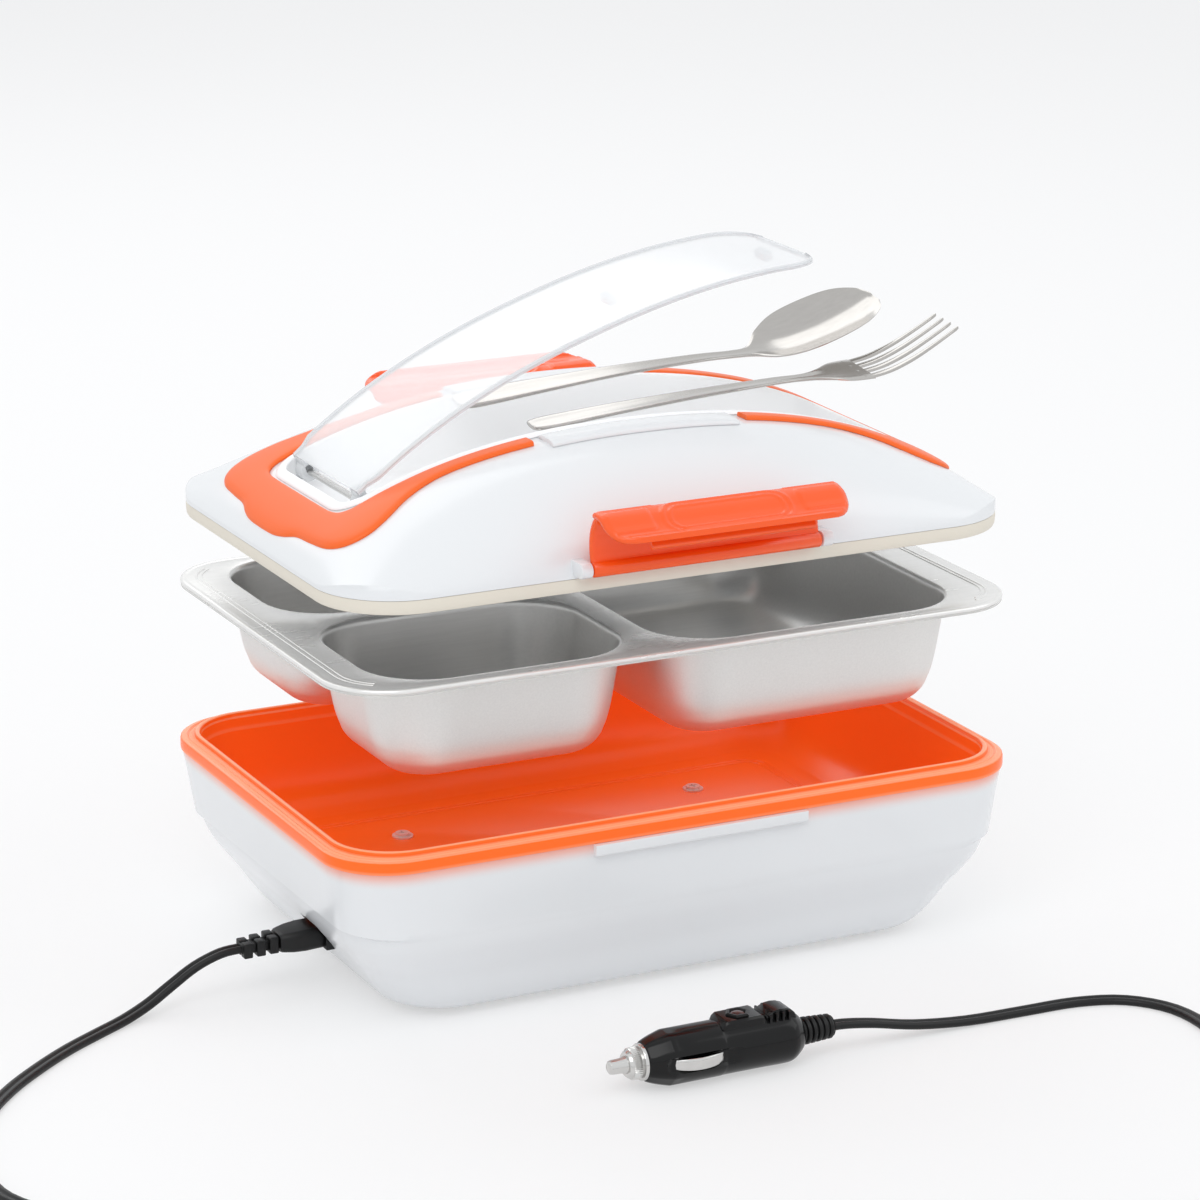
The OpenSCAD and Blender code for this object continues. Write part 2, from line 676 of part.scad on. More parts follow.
module plug_nose_ring() {
    color(steel) turned_on_x([[-61, 3.1], [-61, 4.4], [-56.4, 4.8], [-56.4, 5.8], [-55, 5.8], [-55, 3.1]]);
}

module plug_tip_pin() {
    color(steel) turned_on_x([[-67, 0], [-67, 2.4], [-66.4, 2.8], [-54.6, 3], [-54.6, 4.4], [-51.6, 4.4], [-51.6, 0]]);
}

module plug_spring() {
    color(steel) turned_on_x([[-51.6, 2.2], [-51.6, 3.2], [-46, 3.2], [-46, 2.2]]);
}

module plug_fuse() {
    color([0.85, 0.87, 0.88]) turned_on_x([[-46, 0], [-46, 3.1], [-26, 3.1], [-26, 0]]);
}

module plug_fuse_clip() {
    color([0.85, 0.7, 0.35]) turned_on_x([[-26, 0], [-26, 3.6], [-24, 3.6], [-24, 1], [-2, 1], [-2, 0]]);
}

module plug_contact() {
    inside = 16;
    color(steel) translate([-38, 10.4 - inside, 0]) intersection() {
        difference() {
            translate([0, 0, -2]) cylinder(h = 4, r = inside, $fn = 64);
            translate([0, 0, -3]) cylinder(h = 6, r = inside - 0.9, $fn = 64);
        }
        translate([-11, 8, -4]) cube([22, 20, 8]);
    }
}

module plug_contact_left() {
    translate([0, plug_y, plug_z]) mirror([0, 1, 0]) plug_contact();
}

module plug_contact_right() {
    translate([0, plug_y, plug_z]) plug_contact();
}

module plug_lens() {
    color([0.5, 0.1, 0.1]) translate([-21, plug_y, plug_z + 6.6]) cylinder(h = 3.9, r = 2.2);
}

base_tub();
rubber_feet();
liner();
liner_screws();
screw_washers();
heating_plate();
ptc_heater();
heater_clip();
thermal_cutout();
insulation_pad();
heater_wires();
inlet_socket();
inlet_pins();
food_tray();
lid_shell();
lid_inner_panel();
lid_seal();
cutlery_well();
left_trim();
right_trim();
finger_pads();
cover_lugs();
front_latch_pin();
rear_latch_pin();
cover_pin();
front_latch();
rear_latch();
cutlery_cover();
spoon();
fork();
inlet_connector();
strain_relief();
power_cord();
plug_boot();
plug_shell_top();
plug_shell_bottom();
plug_nose_ring();
plug_fuse();
plug_fuse_clip();
plug_spring();
plug_tip_pin();
plug_contact_left();
plug_contact_right();
plug_lens();
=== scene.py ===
import math
import bpy
import bmesh
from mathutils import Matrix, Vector, geometry


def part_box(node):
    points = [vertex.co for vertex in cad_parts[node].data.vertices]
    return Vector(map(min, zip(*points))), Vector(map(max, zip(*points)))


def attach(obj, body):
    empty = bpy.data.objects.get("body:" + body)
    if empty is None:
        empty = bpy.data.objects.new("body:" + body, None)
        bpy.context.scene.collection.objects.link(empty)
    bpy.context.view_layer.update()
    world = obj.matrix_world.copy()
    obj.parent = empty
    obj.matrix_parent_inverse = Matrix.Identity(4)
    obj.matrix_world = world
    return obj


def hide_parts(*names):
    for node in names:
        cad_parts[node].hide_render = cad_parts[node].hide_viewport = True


# Electric lunch box being unpacked: base, tray, lid, latches, cover, cutlery and the 12 V lead.
# Shapes are worked out in millimetres in the frame of the model and turned to metres as meshes.

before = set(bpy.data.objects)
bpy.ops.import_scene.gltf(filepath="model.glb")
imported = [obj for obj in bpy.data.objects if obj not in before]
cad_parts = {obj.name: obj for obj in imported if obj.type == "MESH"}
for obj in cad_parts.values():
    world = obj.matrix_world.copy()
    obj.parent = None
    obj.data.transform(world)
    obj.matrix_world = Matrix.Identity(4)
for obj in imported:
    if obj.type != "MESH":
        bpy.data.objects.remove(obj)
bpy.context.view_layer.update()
scene = bpy.context.scene
print("frame loaded")

# camera, light and floor

studio = {
    "eye": (-0.6234, -1.2769, 0.5367),
    "aim": (0.0035, -0.0017, 0.1159),
    "lens": 127.6,
    "worldLight": 0.76,
    "lamps": [
        # place, aim, size, power
        ((-0.9, -1.1, 1.7), (0, 0, 0.1), 1.3, 10),
        ((1.3, -0.7, 1.2), (0, 0, 0.1), 1.0, 3),
        ((0.1, 1.2, 1.3), (0, 0, 0.15), 1.2, 5),
    ],
    "floor": (5, 4, 40),  # half width, half depth, rows of faces
    "floorGlow": 0.5,
    "whiteRays": ("Is Camera Ray", "Is Glossy Ray", "Is Transmission Ray"),
}


def faceTo(thing, target):
    thing.rotation_euler = (Vector(target) - thing.location).to_track_quat("-Z", "Y").to_euler()


def setUpStudio():
    cam = bpy.data.objects.new("photoCamera", bpy.data.cameras.new("photoCamera"))
    scene.collection.objects.link(cam)
    cam.location = studio["eye"]
    cam.data.lens = studio["lens"]
    cam.data.clip_end = 30
    faceTo(cam, studio["aim"])
    scene.camera = cam
    for i, (place, aim, size, power) in enumerate(studio["lamps"]):
        lamp = bpy.data.lights.new(f"softBox{i}", "AREA")
        lamp.shape = "SQUARE"
        lamp.size = size
        lamp.energy = power
        holder = bpy.data.objects.new(lamp.name, lamp)
        scene.collection.objects.link(holder)
        holder.location = place
        faceTo(holder, aim)
    scene.view_settings.view_transform = "Standard"


setUpStudio()


# materials

class Wire:
    def __init__(self, finish, socket):
        self.finish = finish
        self.socket = socket

    def sum(self, kind, a, b):
        return self.finish.node("ShaderNodeMath", {"operation": kind}, {0: a, 1: b})[0]

    def __add__(self, other):
        return self.sum("ADD", self, other)

    def __rsub__(self, other):
        return self.sum("SUBTRACT", other, self)

    def __mul__(self, other):
        return self.sum("MULTIPLY", self, other)

    def __pow__(self, other):
        return self.sum("POWER", self, other)

    def low(self, other):
        return self.sum("MINIMUM", self, other)

    def ramp(self, a, b):
        # 0 below a, 1 above b, smooth between them
        sockets = {"Value": self, "From Min": a, "From Max": b}
        return self.finish.node("ShaderNodeMapRange", {"interpolation_type": "SMOOTHSTEP"}, sockets)[0]

    __radd__ = __add__
    __rmul__ = __mul__


class Taps:
    def __init__(self, finish, made):
        self.finish = finish
        self.made = made

    def __getitem__(self, name):
        return Wire(self.finish, self.made.outputs[name])


def tone(text):
    # linear colour of a hex colour
    parts = [int(text[i:i + 2], 16) / 255 for i in (0, 2, 4)]
    return tuple(c / 12.92 if c <= 0.04045 else ((c + 0.055) / 1.055) ** 2.4 for c in parts) + (1.0,)


class Finish:
    def __init__(self, name, colour, rough, metal=0.0, **fixed):
        self.material = bpy.data.materials.new(name)
        self.material.use_nodes = True
        self.tree = self.material.node_tree
        self.tree.nodes.clear()
        self.end = self.tree.nodes.new("ShaderNodeOutputMaterial")
        self.shader = self.tree.nodes.new("ShaderNodeBsdfPrincipled")
        self.tree.links.new(self.shader.outputs[0], self.end.inputs["Surface"])
        self.colour = tone(colour)
        self.put("Base Color", self.colour)
        self.put("Roughness", rough)
        self.put("Metallic", metal)
        for key, value in fixed.items():
            self.put(key.replace("_", " ").title().replace("Ior", "IOR"), value)
        self.material.diffuse_color = self.colour

    def plug(self, socket, value):
        if isinstance(value, Wire):
            self.tree.links.new(value.socket, socket)
        else:
            socket.default_value = value

    def put(self, name, value):
        self.plug(self.shader.inputs[name], value)

    def node(self, kind, settings=None, sockets=None):
        made = self.tree.nodes.new(kind)
        for key, value in (settings or {}).items():
            setattr(made, key, value)
        for key, value in (sockets or {}).items():
            self.plug(made.inputs[key], value)
        return Taps(self, made)

    def place(self):
        return self.node("ShaderNodeTexCoord")["Object"]

    def height(self):
        return self.node("ShaderNodeSeparateXYZ", {}, {"Vector": self.place()})["Z"]

    def stretched(self, x, y, z):
        vector = {"Vector": self.place(), "Scale": (x, y, z)}
        return self.node("ShaderNodeMapping", {"vector_type": "POINT"}, vector)["Vector"]

    def noise(self, scale, detail=3.0, rough=0.5, vector=None):
        sockets = {"Vector": vector or self.place(), "Scale": scale, "Detail": detail, "Roughness": rough}
        return self.node("ShaderNodeTexNoise", {}, sockets)[0]

    def mix(self, a, b, share):
        return self.node("ShaderNodeMix", {"data_type": "RGBA"}, {0: share, 6: a, 7: b})[2]

    def bump(self, height, strength, depth):
        sockets = {"Height": height, "Strength": strength, "Distance": depth}
        self.put("Normal", self.node("ShaderNodeBump", {}, sockets)["Normal"])


finishes = {}  # name: finish


def shade(colour, factor):
    return tuple(c * factor for c in colour[:3]) + (1.0,)


def mouldedPlastic(name, colour, rough, grain, coat=0.0, wobble=0.05, gloss=0.5):
    look = Finish(name, colour, rough, coat_weight=coat, coat_roughness=0.08, specular_ior_level=gloss)
    cloud = look.noise(14.0, 2.0)
    look.put("Base Color", look.mix(look.colour, shade(look.colour, 0.95), cloud * 0.6))
    look.put("Roughness", look.noise(60.0, 4.0) * wobble + (rough - wobble / 2))
    look.bump(look.noise(900.0, 2.0) * 0.3 + look.noise(22.0, 1.0), grain, 0.00012)
    finishes[name] = look
    return look


def brushedMetal(name, colour, rough, along, depth, sand=0.0, bands=0.06, metal=1.0):
    # along is how fine the streaks are on each axis
    look = Finish(name, colour, rough, metal)
    streaks = look.noise(1.0, 3.0, 0.6, look.stretched(*along))
    look.put("Base Color", look.mix(look.colour, shade(look.colour, 0.86), streaks))
    look.put("Roughness", streaks * bands + look.noise(35.0, 2.0) * bands + (rough - bands))
    height = streaks * 0.5
    if sand:
        height = height + look.noise(2600.0, 2.0) * sand
    look.bump(height, depth, 0.0001)
    finishes[name] = look
    return look


def makeFinishes():
    mouldedPlastic("whiteShell", "EDEFF1", 0.24, 0.1, 0.25, 0.03)
    tub = mouldedPlastic("tubWhite", "EDEFF1", 0.24, 0.1, 0.25, 0.03)
    z = tub.height()
    # painted light: an orange glow, as if from the orange liner, painted on the white tub just under the brim
    glow = z.ramp(0.0535, 0.0597) ** 1.5
    shell = tub.mix(tub.colour, shade(tub.colour, 0.96), tub.noise(14.0, 2.0) * 0.6)
    tub.put("Base Color", tub.mix(shell, tone("FF7A3C"), glow * 0.6))
    liner = mouldedPlastic("orangeLiner", "FF6812", 0.26, 0.1, 0.0, 0.02, gloss=0.35)
    z = liner.height()
    # painted highlights: pale orange lines along the brim's bead and top edge, and a paler band low on the brim,
    # mixed in towards FFB890
    paintedBrimHighlights = z.ramp(0.0636, 0.0640) * (1 - z.ramp(0.0643, 0.0647)) + z.ramp(0.0655, 0.0658)
    low = z.ramp(0.0590, 0.0597) * (1 - z.ramp(0.0600, 0.0612)) * 0.5
    cloud = liner.mix(liner.colour, shade(liner.colour, 0.95), liner.noise(14.0, 2.0) * 0.6)
    liner.put("Base Color", liner.mix(cloud, tone("FFB890"), (paintedBrimHighlights + low).low(1.0) * 0.75))
    # painted glow: a weak orange emission lightens the liner where the tray and the lid shade it
    liner.put("Emission Color", tone("FF7A30"))
    liner.put("Emission Strength", 0.14)
    mouldedPlastic("orangeTrim", "FF6E2A", 0.38, 0.1, 0.0, 0.03, gloss=0.3)
    mouldedPlastic("orangeLatch", "FF5C16", 0.24, 0.08, 0.15, 0.03, gloss=0.45)
    mouldedPlastic("creamSeal", "E9E2D4", 0.55, 0.3)
    mouldedPlastic("blackPlug", "050506", 0.16, 0.06, 0.0, 0.03, gloss=0.3)
    mouldedPlastic("blackLead", "0A0A0B", 0.4, 0.3, gloss=0.35)
    mouldedPlastic("darkRubber", "1A1A1B", 0.7, 0.6)
    mouldedPlastic("palePad", "D8D2C0", 0.85, 1.0)
    mouldedPlastic("redWire", "B0171A", 0.4, 0.3)
    outside = brushedMetal("trayOutside", "E9E8E6", 0.46, (700.0, 700.0, 700.0), 0.25, 1.2, metal=0.85)
    z = outside.height()
    # painted reflection: the outside of the bowls turns orange towards their bottoms, as if mirroring the orange
    # liner below
    paintedOrangeReflection = (1 - z.ramp(0.084, 0.1)) * 0.3
    sheet = outside.mix(outside.colour, shade(outside.colour, 0.88), outside.noise(1500.0, 2.0, 0.6))
    outside.put("Base Color", outside.mix(sheet, tone("FF9A68"), paintedOrangeReflection))
    brushedMetal("trayInside", "DEDDDB", 0.3, (40.0, 900.0, 900.0), 0.2, 0.3, metal=0.7)
    brushedMetal("trayRim", "F4F3F1", 0.26, (60.0, 700.0, 700.0), 0.06, 0.1, metal=0.6)
    brushedMetal("cutlerySteel", "BDBAB6", 0.16, (60.0, 500.0, 500.0), 0.05)
    brushedMetal("brightSteel", "D6D5D3", 0.16, (200.0, 400.0, 400.0), 0.05)
    brushedMetal("screwSteel", "F2F1EF", 0.3, (200.0, 400.0, 400.0), 0.05, metal=0.35)
    brushedMetal("heatPlate", "B9BABC", 0.42, (30.0, 900.0, 900.0), 0.3, 0.4)
    brushedMetal("brassMetal", "B58A3A", 0.3, (200.0, 400.0, 400.0), 0.1)
    well = mouldedPlastic("wellWhitePaintedGlow", "F2F3F4", 0.3, 0.1, 0.2, 0.03)
    # painted light: a weak white emission brightens the well, which the cover and the lid shade
    well.put("Emission Color", (1, 1, 1, 1))
    well.put("Emission Strength", 0.14)
    cover = mouldedPlastic("milkyCover", "F2F4F6", 0.18, 0.05, 0.3, 0.03)
    cover.put("Alpha", 0.46)
    edge = mouldedPlastic("milkyEdge", "EEF0F2", 0.22, 0.05, 0.2, 0.03)
    edge.put("Alpha", 0.8)
    mouldedPlastic("milkyBoss", "C9CCCF", 0.3, 0.05, 0.2, 0.03)
    glass = mouldedPlastic("darkLens", "2A0808", 0.08, 0.02, 0.6)
    glass.put("Emission Color", tone("3A0504"))
    glass.put("Emission Strength", 0.25)
    fuse = mouldedPlastic("clearGlass", "C9D6DA", 0.06, 0.02, 0.4)
    fuse.put("Alpha", 0.55)


makeFinishes()
print("finishes made:", len(finishes))


# floor and backdrop

def makeFloor():
    look = Finish("paperFloor", "F6F6F7", 0.7)
    rays = look.node("ShaderNodeLightPath")
    camera, glossy, through = (rays[kind] for kind in studio["whiteRays"])
    seen = (camera + glossy + through).low(1.0)
    glow = look.node("ShaderNodeEmission", {}, {"Color": (1, 1, 1, 1), "Strength": 1.0})
    shaders = {0: seen * studio["floorGlow"], 1: Wire(look, look.shader.outputs[0]), 2: glow[0]}
    blend = look.node("ShaderNodeMixShader", {}, shaders)
    look.tree.links.new(blend[0].socket, look.end.inputs["Surface"])
    wide, deep, rows = studio["floor"]
    points = [(x, deep * (2 * i / rows - 1), 0) for i in range(rows + 1) for x in (-wide, 0, wide)]
    faces = [(3 * i + j, 3 * i + j + 1, 3 * i + j + 4, 3 * i + j + 3) for i in range(rows) for j in (0, 1)]
    data = bpy.data.meshes.new("paperSweep")
    data.from_pydata(points, [], faces)
    floor = bpy.data.objects.new("paperSweep", data)
    scene.collection.objects.link(floor)
    data.materials.append(look.material)

    world = bpy.data.worlds.new("paleRoom")
    scene.world = world
    world.use_nodes = True
    tree = world.node_tree
    tree.nodes.clear()
    out = tree.nodes.new("ShaderNodeOutputWorld")
    back = tree.nodes.new("ShaderNodeBackground")
    rays = tree.nodes.new("ShaderNodeLightPath")
    pick = tree.nodes.new("ShaderNodeMix")
    back.inputs["Color"].default_value = (0.97, 0.985, 1, 1)
    seen = None
    for kind in studio["whiteRays"]:
        more = tree.nodes.new("ShaderNodeMath")
        more.operation = "MAXIMUM"
        more.inputs[1].default_value = 0.0
        tree.links.new(rays.outputs[kind], more.inputs[0])
        if seen:
            tree.links.new(seen, more.inputs[1])
        seen = more.outputs[0]
    pick.inputs["A"].default_value = studio["worldLight"]
    pick.inputs["B"].default_value = 1.0
    tree.links.new(seen, pick.inputs["Factor"])
    tree.links.new(pick.outputs[0], back.inputs["Strength"])
    tree.links.new(back.outputs[0], out.inputs["Surface"])


makeFloor()


# shape helpers

def smoothLine(points, n):
    # curve through the points, n steps between two of them
    out = []
    last = len(points) - 1
    for i in range(last):
        a, b, c, d = points[max(i - 1, 0)], points[i], points[i + 1], points[min(i + 2, last)]
        for k in range(n):
            t = k / n
            out.append(tuple(0.5 * (2 * q + (r - p) * t + (2 * p - 5 * q + 4 * r - s) * t * t
                                    + (3 * q - p - 3 * r + s) * t ** 3) for p, q, r, s in zip(a, b, c, d)))
    out.append(tuple(points[last]))
    return out


def outline(a, b, r, cornerN=10, longN=0, shortN=0):
    # rounded rectangle, counter-clockwise from the right side's upper corner
    cx, cy = a - r, b - r
    out = []

    def arc(x, y, start):
        for i in range(cornerN + 1):
            t = math.radians(start + 90 * i / cornerN)
            out.append((x + r * math.cos(t), y + r * math.sin(t)))

    def side(p, q, n):
        for i in range(1, n + 1):
            k = i / (n + 1)
            out.append((p[0] + (q[0] - p[0]) * k, p[1] + (q[1] - p[1]) * k))

    arc(cx, cy, 0)
    side((cx, b), (-cx, b), longN)
    arc(-cx, cy, 90)
    side((-a, cy), (-a, -cy), shortN)
    arc(-cx, -cy, 180)
    side((-cx, -b), (cx, -b), longN)
    arc(cx, -cy, 270)
    side((a, -cy), (a, cy), shortN)
    return out


def skin(rings, around=True, along=False, caps=True):
    # points and faces of a surface over rings that hold the same number of points
    n, m = len(rings[0]), len(rings)
    points = [p for ring in rings for p in ring]
    faces = []
    for k in range(m if along else m - 1):
        a, b = k * n, (k + 1) % m * n
        for i in range(n if around else n - 1):
            j = (i + 1) % n
            faces.append((a + i, a + j, b + j, b + i))
    if caps and not along:
        faces.append(tuple(range(n - 1, -1, -1)))
        faces.append(tuple(range((m - 1) * n, m * n)))
    return points, faces


def join(*shapes):
    points, faces = [], []
    for p, f in shapes:
        base = len(points)
        points += list(p)
        faces += [tuple(i + base for i in face) for face in f]
    return points, faces


def moved(shape, z):
    return [(p[0], p[1], p[2] + z) for p in shape[0]], shape[1]


def changed(shape, change):
    return [change(*p) for p in shape[0]], shape[1]


def flipped(shape):
    return shape[0], [tuple(reversed(f)) for f in shape[1]]


def shrunk(points):
    # millimetres to metres
    return [(x / 1000, y / 1000, z / 1000) for x, y, z in points]


def baked(obj):
    # puts the result of the modifiers into the mesh
    bpy.context.view_layer.update()
    data = bpy.data.meshes.new_from_object(obj.evaluated_get(bpy.context.evaluated_depsgraph_get()))
    obj.modifiers.clear()
    obj.data = data
    data.name = obj.name


def smoothed(obj, sharp):
    obj.data.polygons.foreach_set("use_smooth", [True] * len(obj.data.polygons))
    obj.data.set_sharp_from_angle(angle=math.radians(sharp))


def piece(name, shape, body, slot, look, stands, sharp=40.0, round=0.0, steps=2):
    # sharp: smallest angle of a hard edge, round: width of the softened edges
    data = bpy.data.meshes.new(name)
    data.from_pydata(shrunk(shape[0]), [], shape[1])
    made = bmesh.new()
    made.from_mesh(data)
    bmesh.ops.remove_doubles(made, verts=made.verts, dist=1e-7)
    bmesh.ops.recalc_face_normals(made, faces=made.faces)
    made.to_mesh(data)
    made.free()
    obj = bpy.data.objects.new(name, data)
    scene.collection.objects.link(obj)
    if round:
        edge = obj.modifiers.new("soften", "BEVEL")
        edge.width = round / 1000
        edge.segments = steps
        edge.limit_method = "ANGLE"
        edge.angle_limit = math.radians(35)
        edge.harden_normals = False
        baked(obj)
    smoothed(obj, sharp)
    obj.data.materials.append(finishes[look].material)
    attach(obj, body)
    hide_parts(*stands)
    return obj


def secondLook(obj, look, chosen):
    # gives a second finish to the faces whose middle, in millimetres, is chosen
    obj.data.materials.append(finishes[look].material)
    index = len(obj.data.materials) - 1
    for face in obj.data.polygons:
        if chosen(face.center * 1000):
            face.material_index = index


def turnedOnX(profile, y, z, sides=48, change=None):
    # profile of (x, radius) turned about a line along X
    rings = []
    for px, r in profile:
        ring = []
        for i in range(sides):
            t = 2 * math.pi * i / sides
            q = change(px, r, t) if change else r
            ring.append((px, y + q * math.cos(t), z + q * math.sin(t)))
        rings.append(ring)
    return skin(rings)


def block(x0, x1, y0, y1, z0, z1):
    ring = [(y0, z0), (y1, z0), (y1, z1), (y0, z1)]
    return skin([[(x, y, z) for y, z in ring] for x in (x0, x1)])


def ringLine(points, half, height):
    # closed bead with a half-round top along closed points in 3-D
    n = len(points)
    rings = []
    for i, p in enumerate(points):
        a, b = Vector(points[i - 1]), Vector(points[(i + 1) % n])
        t = (b - a).normalized()
        side = Vector((t.y, -t.x, 0)).normalized()
        up = Vector((0, 0, 1))
        turns = [math.pi * k / 6 for k in range(7)]
        rings.append([tuple(Vector(p) + side * half * math.cos(w) + up * height * math.sin(w)) for w in turns])
    return skin(rings, around=False, along=True)


def tube(points, profile):
    # sweeps a closed profile of (across, up) along the points
    rings = []
    last = len(points) - 1
    for i, p in enumerate(points):
        t = (Vector(points[min(i + 1, last)]) - Vector(points[max(i - 1, 0)])).normalized()
        side = Vector((0, 0, 1)).cross(t).normalized()
        up = t.cross(side)
        rings.append([tuple(Vector(p) + side * a + up * b) for a, b in profile])
    return skin(rings)


def levelRing(x, y, z, r, n):
    turns = [2 * math.pi * k / n for k in range(n)]
    return [(x + r * math.cos(w), y + r * math.sin(w), z) for w in turns]


# the lead: route from the connector to the plug

lead = {
    "width": 5.2,
    "thick": 2.6,
    "route": [
        (-141, -20, 17.2), (-148, -20, 16.6), (-157, -20, 13.4), (-166, -21, 8.6), (-175, -23, 4.2),
        (-185, -27, 1.8), (-196, -33, 1.3), (-210, -42, 1.3), (-224, -53, 1.3), (-238, -66, 1.3),
        (-251, -82, 1.3), (-261, -101, 1.3), (-266, -122, 1.3), (-265, -144, 1.3), (-254, -163, 1.3),
        (-236, -177, 1.3), (-212, -189, 1.3), (-180, -203, 1.3), (-144, -219, 1.3), (-106, -235, 1.3),
        (-68, -253, 1.3), (-30, -271, 1.3), (6, -289, 1.3), (36, -303, 1.3), (62, -309, 1.3),
        (84, -302, 1.3), (99, -284, 1.3), (110, -261, 1.3), (120, -238, 1.3), (129, -214, 1.3),
        (135, -192, 1.3), (134, -172, 1.3), (124, -158, 1.3), (108, -152, 1.3), (88, -151, 1.3),
        (66, -151, 1.8), (46, -151, 4), (30, -151, 7.4), (20, -151, 9), (14, -151, 9.4),
    ],
}


def makeLead():
    path = smoothLine(lead["route"], 4)
    r = lead["thick"] / 2
    off = lead["width"] / 2 - r
    profile = []
    for centre, start in ((off, -150), (-off, 30)):
        for k in range(11):
            t = math.radians(start + 300 * k / 10)
            profile.append((centre + r * math.cos(t), r * math.sin(t)))
    cord = piece("lead", tube(path, profile), "base", "black_cord", "blackLead", ["power_cord"], sharp=70)
    length = sum(math.dist(a, b) for a, b in zip(path, path[1:])) / 1000
    return cord, shrunk(path), length


leadPiece, leadPath, leadLength = makeLead()
print("lead length", round(leadLength, 3))

# 12 V plug, lying on the floor along X

plug = {
    "y": -151.0,
    "z": 9.4,
    # along and radius
    "shell": [(-55, 4.8), (-55, 6.2), (-54, 6.9), (-51.4, 7.9), (-47.6, 9.0), (-46.4, 9.2), (-43, 9.2), (-30, 9.2),
              (-27, 9.05), (-14, 9.05), (-5, 9.1), (-2.4, 8.7), (-0.8, 7.8), (0.8, 6.6), (1.8, 5.4), (1.8, 4.2)],
    # along, half width and height of the panel round the lamp
    "deck": [(-28.5, 4.6, 8.6), (-27.6, 5.2, 9.7), (-26.5, 5.4, 10.3), (-14.5, 5.4, 10.5), (-13.4, 5.3, 10.0),
             (-12.8, 5.0, 9.2)],
    "thumb": (-6.9, 5.6, 7.2, 3.8),  # middle, half length, foot and rise of the hump
    "ribs": 4,
    "ribStart": -11.6,
    "ribPitch": 2.3,
    "lampX": -20.6,
    # radius and height
    "lampRing": [(4.4, 10.0), (4.3, 10.9), (3.7, 11.2), (3.0, 11.2), (2.6, 10.7), (2.5, 10.1)],
    "lampBead": [(2.6, 9.9), (2.4, 10.6), (1.8, 10.95), (0.9, 11.1), (0.05, 11.15)],
    # along and radius
    "nose": [(-61, 3.1), (-61, 4.0), (-60.4, 4.5), (-59.7, 4.6), (-59.5, 4.9), (-57.1, 5.1), (-56.9, 4.8),
             (-56.4, 4.8), (-56.3, 5.9), (-55.9, 6.1), (-55.2, 6.1), (-55, 5.8), (-55, 3.1)],
    "knurls": 44,
    "tip": [(-67, 0.05), (-67, 1.6), (-66.6, 2.2), (-65.8, 2.4), (-62.6, 2.5), (-61.6, 2.9), (-54.6, 2.9),
            (-54.6, 4.3), (-51.7, 4.3), (-51.7, 0.05)],
    "bootRibs": 5,
    "contact": (-38, 10.4, 10.3, 3.7),  # middle, half length, reach sideways, drop at the ends
    # out and up from the middle of the contact's face, as shares of its half height w
    "contactFace": [(0, -1, 0.2), (0.05, -0.5, 0), (0.12, 0, 0), (0.05, 0.5, 0), (0, 1, -0.2), (-0.2, 1, 0),
                    (-0.8, 1, 0), (-0.8, -1, 0), (-0.2, -1, 0)],
}


def softStep(a, b, x):
    t = min(max((x - a) / (b - a), 0), 1)
    return t * t * (3 - 2 * t)


def plugRadius(x, r, t):
    # eight flats near the tip and a long groove on both sides
    step = math.pi / 4
    flat = r * 0.965 / math.cos((t + step / 2) % step - step / 2)
    share = 1 - softStep(-44.5, -41.5, x)
    out = r * (1 - share) + min(flat, r) * share
    up = abs(math.sin(t)) * r
    ends = softStep(-50.5, -48.5, x - up * 0.4) * (1 - softStep(-27, -24.5, x + up * 0.4))
    return out - 1.1 * ends * (1 - softStep(2.3, 3.0, up))


